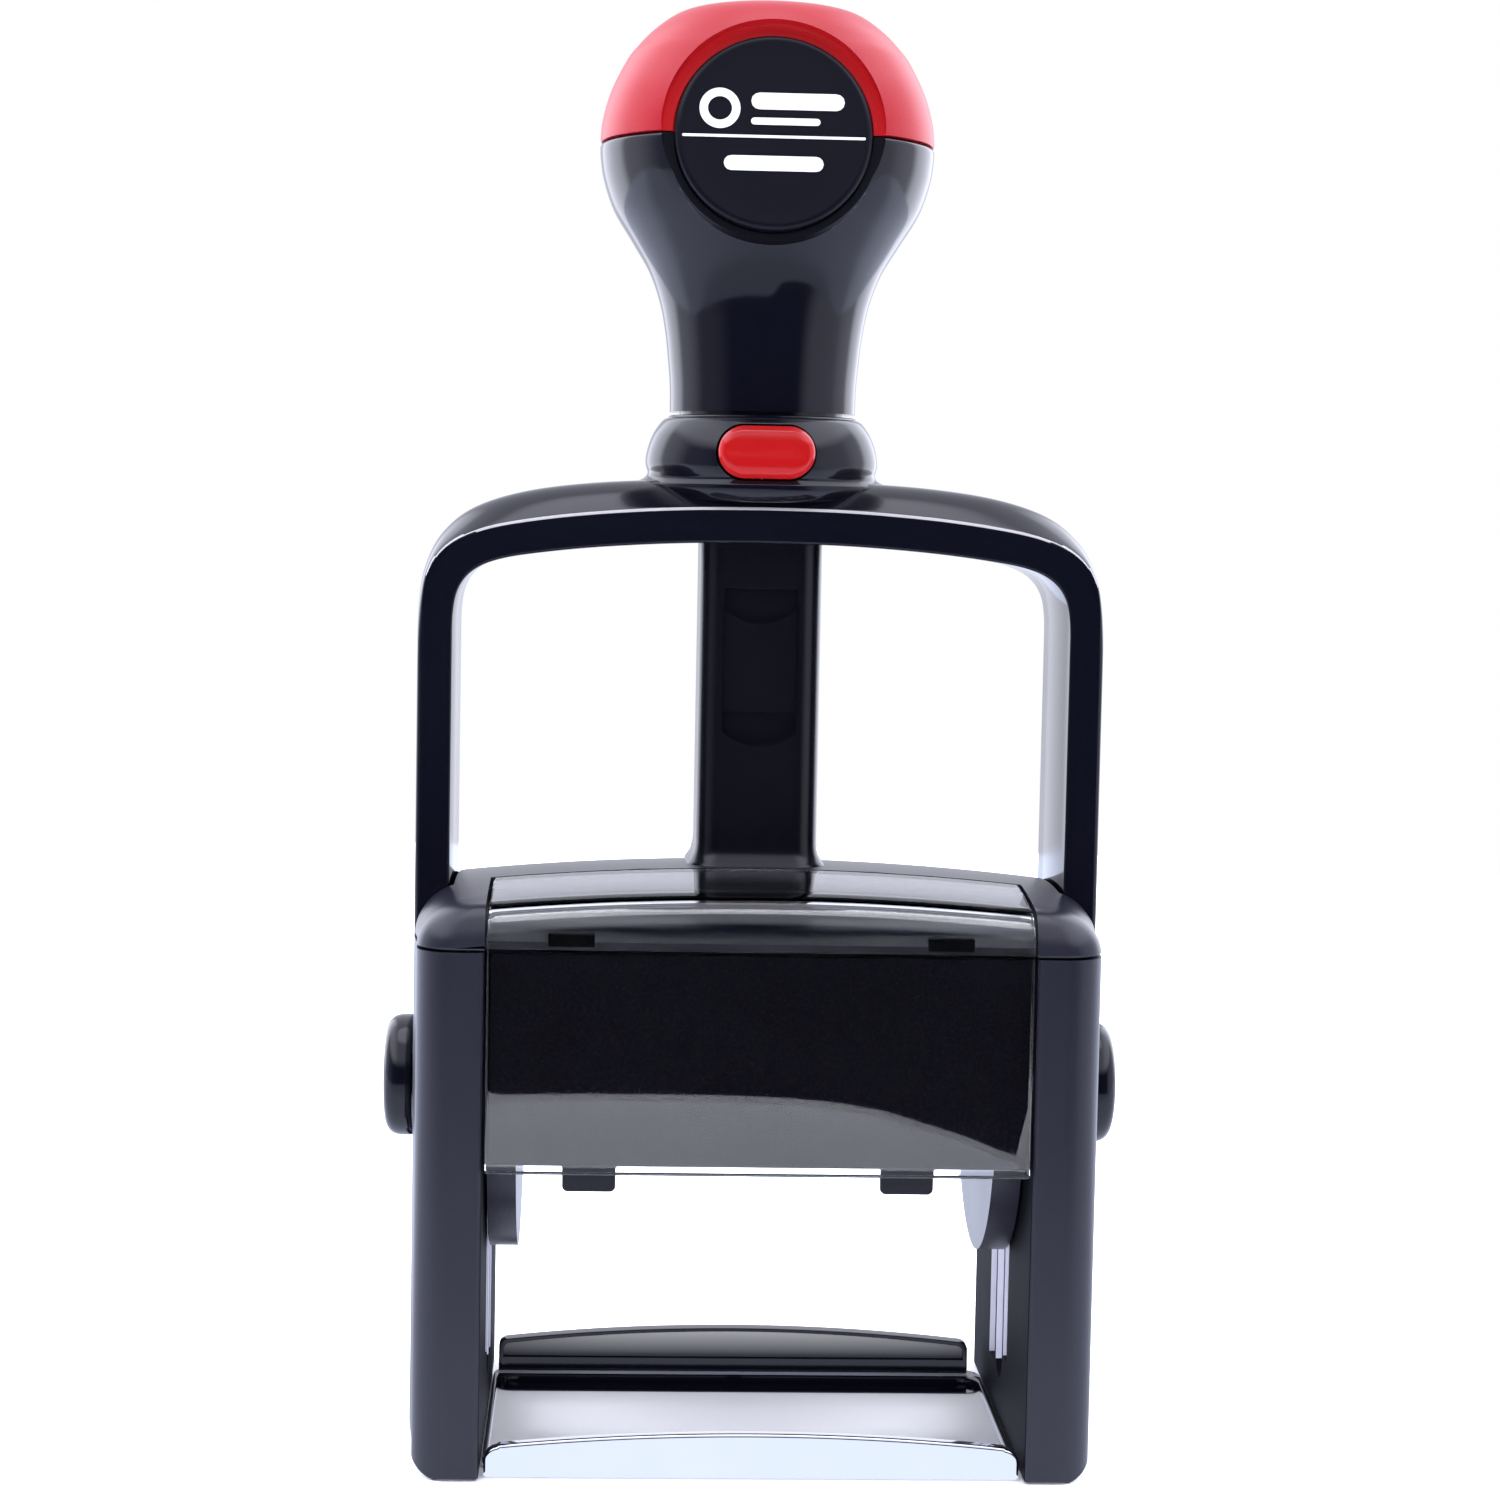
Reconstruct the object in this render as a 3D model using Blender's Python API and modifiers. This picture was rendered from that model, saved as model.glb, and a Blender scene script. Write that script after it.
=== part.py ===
"""Self inking stamp, desk frame type, as separate solid pieces.

Metres, +Z up.  The origin is at the middle of the footprint, on the surface
that the stamp stands on.  X runs across the stamp, -Y is the window side and
+Y is the side where the ink cartridge comes out.
"""
import math

import bmesh
import bpy
from mathutils import Matrix, Vector

MM = 0.001

# ---------------------------------------------------------------- dimensions
GAP = 0.3            # clearance between neighbouring pieces, mm

TOTAL_H = 167.7      # top of the knob
CLEAR_W = 30.8       # half of the clear width between the cheeks
CHEEK_X = 39.4       # outer side of a cheek
CHEEK_Y = 25.6       # front and rear of a cheek
CHEEK_Z = 59.8       # top of a cheek
WEB_X = 35.2         # outer side of the slotted web
POST_Y = 11.6        # inner side of a front or rear post

LEG_IN = 35.5        # inner side of a yoke leg
LEG_OUT = 39.5       # outer side of a yoke leg
LEG_Y = 11.3         # half depth of the yoke
LEG_END = 34.4       # lower end of a yoke leg
BRIDGE_TOP = 112.6
BRIDGE_LOW = 105.2

AXLE_Z = 41.5        # axle height at rest
AXLE_R = 2.5
TRAVEL = 33.3        # full stroke of the handle
DIE_H = 8.0          # axle to printing face

CAP_Z = 60.1         # underside of the housing cap
CROWN_Z = 67.4       # highest point of the housing cap

COL_X = 7.15         # half width of the guide column
COL_Y = 7.0          # half depth of the guide column
COL_FOOT = 67.7
COL_TOP = 111.0
SPRING_LOW = 70.3
SPRING_HIGH = 144.9

SEAM_Z = 151.4       # joint between grip and knob cap
NECK_Z = 120.5       # lower edge of the grip
BORE_R = 9.0         # bore of collar and grip
BADGE_R = 11.1
BADGE_Z = 150.6
BADGE_Y = -15.6
BADGE_TILT = math.radians(9.0)

COVER_W = 30.5
COVER_LOW = 35.0
COVER_Y = -25.9
COVER_T = 1.5

# ---------------------------------------------------------------- clean scene
for old in list(bpy.data.objects):
    bpy.data.objects.remove(old, do_unlink=True)

PARTS = bpy.data.collections.new("self_inking_stamp")
CUTTERS = bpy.data.collections.new("cutters")
bpy.context.scene.collection.children.link(PARTS)
bpy.context.scene.collection.children.link(CUTTERS)


# ---------------------------------------------------------------- materials
def material(name, rgb, rough, metal=0.0, transmission=0.0):
    mat = bpy.data.materials.new(name)
    mat.use_nodes = True
    bsdf = mat.node_tree.nodes["Principled BSDF"]
    bsdf.inputs["Base Color"].default_value = (*rgb, 1.0)
    bsdf.inputs["Roughness"].default_value = rough
    bsdf.inputs["Metallic"].default_value = metal
    bsdf.inputs["Transmission Weight"].default_value = transmission
    return mat


BLACK_GLOSS = material("black_gloss", (0.010, 0.010, 0.018), 0.16)
CHARCOAL = material("charcoal_satin", (0.030, 0.030, 0.045), 0.42)
RED = material("red_satin", (0.55, 0.010, 0.035), 0.30)
RED_GLOSS = material("red_gloss", (0.60, 0.008, 0.030), 0.10)
CHROME = material("chrome", (0.86, 0.87, 0.90), 0.07, 1.0)
STEEL = material("steel", (0.55, 0.55, 0.57), 0.28, 1.0)
BADGE = material("badge_black", (0.012, 0.012, 0.018), 0.35)
CLEAR = material("clear", (0.92, 0.94, 0.98), 0.03, 0.0, 1.0)
CARD = material("card_black", (0.012, 0.012, 0.016), 0.55)
RUBBER = material("rubber_grey", (0.22, 0.10, 0.08), 0.60)
FOAM = material("foam_grey", (0.16, 0.16, 0.17), 0.90)
INK = material("ink_pad", (0.015, 0.015, 0.035), 0.75)


# ---------------------------------------------------------------- helpers
def finish(obj, mat, smooth=30.0):
    mesh = obj.data
    mesh.materials.clear()
    mesh.materials.append(mat)
    mesh.shade_smooth()
    mesh.set_sharp_from_angle(angle=math.radians(smooth))
    return obj


def add(name, mesh, where=PARTS):
    obj = bpy.data.objects.new(name, mesh)
    where.objects.link(obj)
    if where is CUTTERS:
        obj.hide_render = True
        obj.display_type = 'WIRE'
    return obj


def bevel(obj, width, segments=2, angle=35.0):
    mod = obj.modifiers.new("edges", 'BEVEL')
    mod.width = width * MM
    mod.segments = segments
    mod.limit_method = 'ANGLE'
    mod.angle_limit = math.radians(angle)
    mod.use_clamp_overlap = True
    return obj


def box(name, x, y, z, where=PARTS):
    bm = bmesh.new()
    bmesh.ops.create_cube(bm, size=1.0)
    for v in bm.verts:
        v.co = Vector(((x[0] + x[1]) / 2 + v.co.x * (x[1] - x[0]),
                       (y[0] + y[1]) / 2 + v.co.y * (y[1] - y[0]),
                       (z[0] + z[1]) / 2 + v.co.z * (z[1] - z[0]))) * MM
    mesh = bpy.data.meshes.new(name)
    bm.to_mesh(mesh)
    bm.free()
    return add(name, mesh, where)


def rod(name, start, end, r0, r1=None, sides=32, where=PARTS):
    """Straight round bar or cone from start to end."""
    a, b = Vector(start) * MM, Vector(end) * MM
    r1 = r0 if r1 is None else r1
    bm = bmesh.new()
    bmesh.ops.create_cone(bm, cap_ends=True, segments=sides, radius1=r0 * MM,
                          radius2=r1 * MM, depth=(b - a).length)
    turn = Vector((0, 0, 1)).rotation_difference(b - a).to_matrix().to_4x4()
    bmesh.ops.transform(bm, matrix=Matrix.Translation((a + b) / 2) @ turn,
                        verts=bm.verts)
    mesh = bpy.data.meshes.new(name)
    bm.to_mesh(mesh)
    bm.free()
    return add(name, mesh, where)


def plate(name, points, depth, plane, where=PARTS, holes=()):
    """Flat outline, extruded across the named plane between depth[0] and [1]."""
    curve = bpy.data.curves.new(name + "_outline", 'CURVE')
    curve.dimensions = '2D'
    curve.fill_mode = 'BOTH'
    curve.extrude = (depth[1] - depth[0]) / 2 * MM
    for ring in (points, *holes):
        spline = curve.splines.new('POLY')
        spline.points.add(len(ring) - 1)
        for point, (u, v) in zip(spline.points, ring):
            point.co = (u * MM, v * MM, 0.0, 1.0)
        spline.use_cyclic_u = True
    tmp = bpy.data.objects.new(name + "_tmp", curve)
    PARTS.objects.link(tmp)
    mid = (depth[0] + depth[1]) / 2 * MM
    if plane == 'XY':
        mat = Matrix.Translation((0, 0, mid))
    elif plane == 'XZ':
        mat = Matrix.Translation((0, mid, 0)) @ Matrix.Rotation(math.pi / 2, 4, 'X')
    else:                                   # 'YZ'
        mat = Matrix.Translation((mid, 0, 0)) @ Matrix(
            ((0, 0, 1, 0), (1, 0, 0, 0), (0, 1, 0, 0), (0, 0, 0, 1)))
    tmp.matrix_world = mat
    bpy.context.view_layer.update()
    depsgraph = bpy.context.evaluated_depsgraph_get()
    mesh = bpy.data.meshes.new_from_object(tmp.evaluated_get(depsgraph))
    mesh.name = name
    bpy.data.objects.remove(tmp, do_unlink=True)
    bpy.data.curves.remove(curve)
    bm = bmesh.new()
    bm.from_mesh(mesh)
    bmesh.ops.remove_doubles(bm, verts=bm.verts, dist=1e-6)
    bmesh.ops.transform(bm, matrix=mat, verts=bm.verts)
    bmesh.ops.dissolve_limit(bm, angle_limit=math.radians(0.5),
                             verts=bm.verts, edges=bm.edges)
    bmesh.ops.recalc_face_normals(bm, faces=bm.faces)
    bm.to_mesh(mesh)
    bm.free()
    mesh.materials.clear()
    return add(name, mesh, where)


def turned(name, profile, steps=48, where=PARTS, axis='Z', origin=(0, 0, 0)):
    """Closed turned shape.  profile is (radius, height), top to bottom outside."""
    mesh = bpy.data.meshes.new(name)
    n = len(profile)
    closed = profile[0][0] > 1e-6 or profile[-1][0] > 1e-6
    edges = [(i, i + 1) for i in range(n - 1)] + ([(n - 1, 0)] if closed else [])
    mesh.from_pydata([(r * MM, 0.0, h * MM) for r, h in profile], edges, [])
    obj = add(name, mesh, where)
    mod = obj.modifiers.new("turn", 'SCREW')
    mod.axis = 'Z'
    mod.steps = steps
    mod.render_steps = steps
    mod.use_merge_vertices = True
    mod.merge_threshold = 1e-5
    mod.use_smooth_shade = True
    if axis == 'X':
        obj.rotation_euler = (0.0, math.pi / 2, 0.0)
    obj.location = Vector(origin) * MM
    return obj


def boolean(obj, tool, how='DIFFERENCE'):
    mod = obj.modifiers.new(how.lower(), 'BOOLEAN')
    mod.operation = how
    mod.solver = 'EXACT'
    mod.object = tool
    return obj


def arc(cx, cy, r, a0, a1, n):
    return [(cx + r * math.cos(math.radians(a0 + (a1 - a0) * i / n)),
             cy + r * math.sin(math.radians(a0 + (a1 - a0) * i / n)))
            for i in range(n + 1)]


def rounded(x0, x1, y0, y1, r, n=5):
    return (arc(x1 - r, y1 - r, r, 0, 90, n) + arc(x0 + r, y1 - r, r, 90, 180, n)
            + arc(x0 + r, y0 + r, r, 180, 270, n) + arc(x1 - r, y0 + r, r, 270, 360, n))


def crown(x, y):
    """Height of the crowned housing top."""
    return CROWN_Z - 2.0 * (x / 33.5) ** 2 - 1.9 * ((y + 0.5) / 25.6) ** 2


# ---------------------------------------------------------------- cheeks
def cheek(side):
    name = "cheek_left" if side < 0 else "cheek_right"
    s = side
    outer = (arc(CLEAR_W + 0.8, -CHEEK_Y + 0.8, 0.8, 180, 270, 3)
             + arc(CHEEK_X - 4.4, -CHEEK_Y + 4.4, 4.4, 270, 352, 6)
             + [(CHEEK_X, -15.0), (CHEEK_X, -POST_Y - 0.6), (CHEEK_X - 0.6, -POST_Y),
                (WEB_X, -POST_Y)])
    half = outer
    ring = half + [(x, -y) for x, y in reversed(half)]
    ring = [(s * x, y) for x, y in ring]
    body = plate(name, ring, (0.0, CHEEK_Z), 'XY')
    # the foot of each post is rounded on its outer side
    side_view = ([(CLEAR_W - 1, 1.0), (CLEAR_W + 0.6, 0.0)]
                 + arc(CHEEK_X - 4.6, 5.2, 4.7, 270, 360, 6)
                 + [(CHEEK_X + 0.1, CHEEK_Z + 2), (CLEAR_W - 1, CHEEK_Z + 2)])
    side_view = [(x, z if z > 1.05 or x < CLEAR_W else z - (0.5 if z > 0.4 else 0.0))
                 for x, z in side_view]
    env = plate(name + "_side", [(s * x, z) for x, z in side_view],
                (-CHEEK_Y - 3, CHEEK_Y + 3), 'XZ', CUTTERS)
    boolean(body, env, 'INTERSECT')
    end_view = rounded(-CHEEK_Y - 0.1, CHEEK_Y + 0.1, 0.0, CHEEK_Z + 20, 2.4, 4)
    env2 = plate(name + "_end", end_view, (s * 45, s * 25) if s < 0 else (25, 45),
                 'YZ', CUTTERS)
    boolean(body, env2, 'INTERSECT')
    # axle slot through the web
    w = AXLE_R + 0.4
    slot = (arc(0, AXLE_Z, w, 0, 180, 8) + arc(0, AXLE_Z - TRAVEL, w, 180, 360, 8))
    cut = plate(name + "_slot", slot, (s * 37, s * 29) if s < 0 else (29, 37),
                'YZ', CUTTERS)
    boolean(body, cut)
    # windows on both sides of the slot
    for k, ring in (("f", [(-7.2, 9.0), (-3.9, 9.0), (-3.9, 32.0), (-7.2, 32.0)]),
                    ("r", [(3.9, 6.0), (9.2, 6.0), (9.2, 32.0), (3.9, 32.0)])):
        window = plate(name + "_window_" + k, ring, (s * 37, s * 29) if s < 0 else (29, 37),
                       'YZ', CUTTERS)
        boolean(body, window)
    for k, y in (("f", -18.4), ("r", 18.4)):
        hole = rod(name + "_hole_" + k, (s * 34.2, y, -2.0), (s * 34.2, y, 3.4), 2.5,
                   sides=20, where=CUTTERS)
        boolean(body, hole)
        pilot = rod(name + "_pilot_" + k, (s * 34.2, y, 2.0), (s * 34.2, y, 13.0), 1.4,
                    sides=16, where=CUTTERS)
        boolean(body, pilot)
    return finish(body, CHARCOAL)


cheek(-1)
cheek(1)

# screws in the feet of the four posts
for tag, sx, y in (("front_left", -1, -18.4), ("front_right", 1, -18.4),
                   ("rear_left", -1, 18.4), ("rear_right", 1, 18.4)):
    screw = turned("post_screw_" + tag,
                   [(0.0, 11.6), (1.05, 11.6), (1.05, 3.0), (2.1, 3.0), (2.1, 1.5),
                    (1.7, 1.2), (0.7, 1.2), (0.7, 1.9), (0.0, 1.9)],
                   steps=16, origin=(sx * 34.2, y, 0.0))
    finish(screw, STEEL)

# ---------------------------------------------------------------- housing cap
shoulder = [(CHEEK_X, CAP_Z)] + arc(CHEEK_X - 4.7, 60.9, 4.7, 4, 62, 6)
top = [(33.5 - 33.5 * i / 8, crown(33.5 - 33.5 * i / 8, -0.5)) for i in range(9)]
right = shoulder + top
cap = plate("housing_cap", right + [(-x, z) for x, z in reversed(right[:-1])],
            (-CHEEK_Y, CHEEK_Y), 'XZ')
ends = []
for i in range(17):
    y = -CHEEK_Y + 2 * CHEEK_Y * i / 16
    ends.append((y, crown(0, y) + 0.02))
end_view = ([(-CHEEK_Y, CAP_Z - 1)] + [(CHEEK_Y, CAP_Z - 1)]
            + arc(CHEEK_Y - 2.0, 62.9, 2.0, 0, 60, 4)
            + [p for p in reversed(ends) if abs(p[0]) < 23.5]
            + arc(-CHEEK_Y + 2.0, 62.9, 2.0, 120, 180, 4))
env = plate("cap_end_view", end_view, (-45, 45), 'YZ', CUTTERS)
boolean(cap, env, 'INTERSECT')
for s in (-1, 1):
    notch = box("cap_notch_%d" % (s + 1), (34.9 if s > 0 else -42, 42 if s > 0 else -34.9),
                (-POST_Y, POST_Y), (55, 75), CUTTERS)
    boolean(cap, notch)
# seat of the clear cover, and the hollow underneath
seat = plate("cover_seat",
             [(-40, 50), (COVER_Y + COVER_T + GAP, 50), (COVER_Y + COVER_T + GAP, 61.8),
              (-21.0, 64.3), (-9.0, 65.35), (-9.0, 75), (-40, 75)],
             (-CLEAR_W, CLEAR_W), 'YZ', CUTTERS)
boolean(cap, seat)
hollow = box("cap_hollow", (-27.5, 27.5), (-19.5, 21.5), (50, 62.6), CUTTERS)
boolean(cap, hollow)
bore = rod("cap_bore", (0, 0, 55), (0, 0, 75), 4.8, sides=24, where=CUTTERS)
boolean(cap, bore)
finish(cap, CHARCOAL)

# ---------------------------------------------------------------- guide column
column = plate("guide_column", rounded(-COL_X, COL_X, -COL_Y, COL_Y, 3.2, 4),
               (COL_FOOT + 0.6, COL_TOP), 'XY')
foot = plate("column_foot", rounded(-8.5, 8.5, -8.4, 8.4, 3.6, 4),
             (COL_FOOT, COL_FOOT + 1.6), 'XY', CUTTERS)
boolean(column, foot, 'UNION')
boss = rod("column_boss", (0, 0, 62.9), (0, 0, COL_FOOT + 0.8), 4.4, sides=24, where=CUTTERS)
boolean(column, boss, 'UNION')
channel = box("column_channel", (-4.4, 4.4), (-9, -6.0), (70.6, 120), CUTTERS)
boolean(column, channel)
for i, (lo, hi) in enumerate(((95.9, 100.2), (81.6, 85.8))):
    shape = [(-4.4, hi), (-4.4, lo + 1.6)] + arc(0, lo + 6.6, 6.6, 222, 318, 6)[0:] \
        + [(4.4, lo + 1.6), (4.4, hi)]
    shape = [p for p in shape if abs(p[0]) <= 4.41]
    pocket = plate("column_pocket_%d" % i, shape, (-9, -4.9), 'XZ', CUTTERS)
    boolean(column, pocket)
core = rod("column_core", (0, 0, 70.0), (0, 0, 120), 4.0, sides=24, where=CUTTERS)
boolean(column, core)
tap = rod("column_tap", (0, 0, 55), (0, 0, 68.9), 2.0, sides=16, where=CUTTERS)
boolean(column, tap)
finish(column, BLACK_GLOSS)

screw = turned("column_screw",
               [(0.0, 68.5), (1.6, 68.5), (1.6, 62.4), (5.4, 62.4), (5.4, 61.4),
                (4.2, 60.5), (1.2, 60.5), (1.2, 61.3), (0.0, 61.3)], steps=24)
finish(screw, STEEL)

# return spring inside the column: closed ends, 12 turns
curve = bpy.data.curves.new("return_spring", 'CURVE')
curve.dimensions = '3D'
curve.bevel_depth = 0.45 * MM
curve.bevel_resolution = 2
curve.use_fill_caps = True
spline = curve.splines.new('POLY')
turns, per = 12.0, 10
count = int(turns * per) + 1
spline.points.add(count - 1)
for i in range(count):
    t = i / (count - 1)
    dead = 1.2 / turns
    if t < dead:
        z = t / dead * 1.1
    elif t > 1 - dead:
        z = (SPRING_HIGH - SPRING_LOW - 0.9) - (1 - t) / dead * 1.1
    else:
        z = 1.1 + (t - dead) / (1 - 2 * dead) * (SPRING_HIGH - SPRING_LOW - 0.9 - 2.2)
    a = 2 * math.pi * turns * t
    spline.points[i].co = (3.2 * math.cos(a) * MM, 3.2 * math.sin(a) * MM,
                           (SPRING_LOW + 0.45 + z) * MM, 1.0)
curve.materials.append(STEEL)
PARTS.objects.link(bpy.data.objects.new("return_spring", curve))

# ---------------------------------------------------------------- base
bar_top = [(x, 3.7 + 1.65 * (1 - (x / 30.2) ** 2)) for x in
           [28.4 - 56.8 * i / 16 for i in range(17)]]
bar = plate("front_bar", [(-30.3, 0.1), (30.3, 0.1)] + [(30.3, 2.2)]
            + arc(28.7, 2.2, 1.6, 12, 78, 3) + bar_top
            + arc(-28.7, 2.2, 1.6, 102, 168, 3) + [(-30.3, 2.2)],
            (-24.35, -22.7), 'XZ')
finish(bar, CHROME)

rear_top = [(x, 5.2 + 1.7 * (1 - (x / 28.5) ** 2)) for x in
            [28.2 - 56.4 * i / 10 for i in range(11)]]
rear = plate("rear_bar", [(-29.5, 0.95), (29.5, 0.95), (29.5, 4.2)] + rear_top
             + [(-29.5, 4.2)], (17.0, 19.0), 'XZ')
finish(bevel(rear, 0.35, 1), BLACK_GLOSS)

frame = plate("base_frame", rounded(-30.6, 30.6, -22.3, 19.2, 3.0, 4), (0.15, 0.90), 'XY',
              holes=(list(reversed(rounded(-30.0, 30.0, -17.5, 15.2, 2.6, 4))),))
key = box("frame_key", (-1.4, 0.4), (14.0, 15.9), (0.5, 4), CUTTERS)
boolean(frame, key)
finish(frame, BLACK_GLOSS)

panel = plate("rear_panel", rounded(-COVER_W, COVER_W, 33.5, 49.5, 1.2, 3), (24.0, 25.6), 'XZ')
finish(bevel(panel, 0.3, 1), CHARCOAL)

# ---------------------------------------------------------------- yoke
def yoke_outer():
    pts = [(LEG_OUT, LEG_END), (LEG_OUT, 98.0)]
    pts += arc(LEG_OUT - 9.5, 100.2, 9.5, 0, 78, 8)
    pts += [(x, BRIDGE_TOP - 2.8 * (x / 31.5) ** 2.2) for x in (27.5, 22, 16, 10, 5)]
    return pts + [(0.0, BRIDGE_TOP)]


def yoke_inner():
    pts = [(x, BRIDGE_LOW - 0.25 * (x / 29.0) ** 2) for x in (0.0, 12.0, 24.0)]
    pts += [(LEG_IN - 6.2 + 6.2 * math.sin(a), 98.6 + 6.2 * math.cos(a))
            for a in [math.radians(8 + 82 * i / 6) for i in range(7)]]
    return pts + [(LEG_IN, LEG_END)]


half = yoke_inner() + yoke_outer()
ring = [p for p in half]
left = [(-x, z) for x, z in reversed(half) if x > 1e-9]
yoke = plate("yoke_frame", ring + left, (-LEG_Y, LEG_Y), 'XZ')

# round the upper front and rear edges strongly, the other edges lightly
bm = bmesh.new()
bm.from_mesh(yoke.data)
wide, fine = [], []
for e in bm.edges:
    a, b = e.verts[0].co, e.verts[1].co
    if abs(a.y - b.y) > 1e-6 or len(e.link_faces) != 2:
        continue
    mid = (a + b) / 2 / MM
    if e.calc_face_angle(0.0) < 0.5:
        continue
    inside = abs(mid.x) < LEG_IN + 0.2 and mid.z < BRIDGE_LOW + 0.3
    if not inside and mid.z > 108.4 and abs(mid.x) < 36.5:
        wide.append(e)
    elif mid.z > LEG_END + 0.2:
        fine.append(e)
bmesh.ops.bevel(bm, geom=wide, offset=3.0 * MM, offset_type='OFFSET', segments=3,
                profile=0.5, affect='EDGES', clamp_overlap=True)
bmesh.ops.remove_doubles(bm, verts=bm.verts, dist=1e-6)
bmesh.ops.recalc_face_normals(bm, faces=bm.faces)
bm.to_mesh(yoke.data)
bm.free()

end_shape = ([(LEG_Y + 1, 130), (-LEG_Y - 1, 130), (-LEG_Y - 1, 45), (-LEG_Y - 0.01, LEG_END + 6)]
             + arc(-LEG_Y + 5.5, LEG_END + 5.5, 5.5, 180, 270, 5)
             + arc(LEG_Y - 5.5, LEG_END + 5.5, 5.5, 270, 360, 5) + [(LEG_Y + 1, 45)])
env = plate("yoke_end_view", end_shape, (-50, 50), 'YZ', CUTTERS)
boolean(yoke, env, 'INTERSECT')
collar = turned("collar", [(10.1, 120.2), (11.1, 120.2), (11.5, 119.4), (12.6, 118.1),
                           (13.4, 116.4), (13.65, 114.8), (13.4, 113.4), (12.7, 112.6),
                           (12.4, 111.8), (12.3, 110.2), (11.9, 109.9), (5.0, 109.9),
                           (5.0, 117.0), (10.1, 117.0)], steps=48, where=CUTTERS)
boolean(yoke, collar, 'UNION')
well = plate("yoke_well", rounded(-7.5, 7.5, -7.35, 7.35, 3.3, 4), (100, 112.5), 'XY', CUTTERS)
boolean(yoke, well)
bore = rod("collar_bore", (0, 0, 112.0), (0, 0, 119.1), BORE_R, sides=40, where=CUTTERS)
boolean(yoke, bore)
mouth = rod("collar_mouth", (0, 0, 119.0), (0, 0, 125), 10.05, sides=40, where=CUTTERS)
boolean(yoke, mouth)
slot = plate("button_slot", arc(2.5, 115.8, 3.3, -90, 90, 8) + arc(-2.5, 115.8, 3.3, 90, 270, 8),
             (-18, -5), 'XZ', CUTTERS)
boolean(yoke, slot)
for s in (-1, 1):
    eye = rod("leg_eye_%d" % (s + 1), (s * 30, 0, AXLE_Z), (s * 45, 0, AXLE_Z),
              AXLE_R + 0.3, sides=28, where=CUTTERS)
    boolean(yoke, eye)
finish(yoke, BLACK_GLOSS)

# ---------------------------------------------------------------- axles
for s, name in ((-1, "axle_left"), (1, "axle_right")):
    a0, a1, hd = 28.3, 39.85, 43.4
    prof = [(0.0, hd), (2.6, hd - 0.12), (4.6, hd - 0.55), (6.1, hd - 1.25), (6.9, hd - 2.1),
            (7.2, hd - 2.9), (7.1, a1), (AXLE_R, a1), (AXLE_R, a0 + 0.4),
            (AXLE_R - 0.4, a0), (0.0, a0)]
    axle = turned(name, prof, steps=32, axis='X', origin=(0, 0, AXLE_Z))
    if s < 0:
        axle.rotation_euler = (0.0, -math.pi / 2, 0.0)
    finish(axle, CHARCOAL)

# ---------------------------------------------------------------- grip and knob
normal = Vector((0.0, -math.cos(BADGE_TILT), math.sin(BADGE_TILT)))
centre = Vector((0.0, BADGE_Y, BADGE_Z))


def knob_radius(z):
    """Outer radius of grip and knob at height z."""
    table = ((NECK_Z, 10.9), (123.5, 10.95), (126.2, 11.17), (129.7, 11.57), (133.2, 12.27),
             (136.7, 13.55), (140.2, 15.64), (143.7, 17.79), (147.1, 19.06),
             (149.5, 19.42), (SEAM_Z, 19.5), (154.1, 19.27), (157.5, 18.32),
             (161.0, 16.56), (164.4, 13.64), (166.2, 11.2), (167.1, 8.0),
             (167.6, 4.0), (TOTAL_H, 0.0))
    for (z0, r0), (z1, r1) in zip(table, table[1:]):
        if z0 <= z <= z1:
            return r0 + (r1 - r0) * (z - z0) / (z1 - z0)
    return 0.0


grip_z = [SEAM_Z - 0.15, 149.5, 147.1, 145.4, 143.7, 141.9, 140.2, 138.5, 136.7, 133.2,
          129.7, 126.2, NECK_Z]
profile = [(knob_radius(z), z) for z in grip_z]
profile += [(9.75, NECK_Z), (9.75, 119.3), (BORE_R, 119.3), (BORE_R, 147.0), (2.4, 147.0),
            (2.4, 149.0), (4.6, 149.0), (4.6, SEAM_Z - 0.15)]
grip = turned("handle_grip", profile, steps=44)
lip = rod("badge_lip", tuple(centre - normal * 6.0), tuple(centre + normal * 0.15), 13.1,
          sides=56, where=CUTTERS)
trim = box("lip_trim", (-30, 30), (-40, 30), (SEAM_Z - 0.15, 190), CUTTERS)
boolean(lip, trim)
boolean(grip, lip, 'UNION')
recess = rod("badge_recess", tuple(centre - normal * 1.8), tuple(centre + normal * 8.0),
             BADGE_R + 0.35, sides=56, where=CUTTERS)
flare = rod("badge_flare", tuple(centre - normal * 0.35), tuple(centre + normal * 3.6),
            BADGE_R + 0.36, 15.0, sides=56, where=CUTTERS)
boolean(grip, recess)
boolean(grip, flare)
finish(grip, BLACK_GLOSS, 40)

cap_z = [TOTAL_H, 167.6, 167.1, 166.2, 165.0, 163.6, 162.0, 160.0, 157.5, 155.5, 153.5,
         SEAM_Z + 0.15]
profile = [(knob_radius(z), z) for z in cap_z]
profile += [(11.2, SEAM_Z + 0.15), (11.2, 157.0), (8.0, 160.0), (0.0, 160.0)]
cap = turned("handle_cap", profile, steps=44)
boolean(cap, recess)
boolean(cap, flare)
finish(cap, RED, 40)

badge = rod("badge_disc", tuple(centre - normal * 1.5), tuple(centre - normal * 0.1),
            BADGE_R, sides=56)
finish(bevel(badge, 0.25, 1), BADGE)

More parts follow.
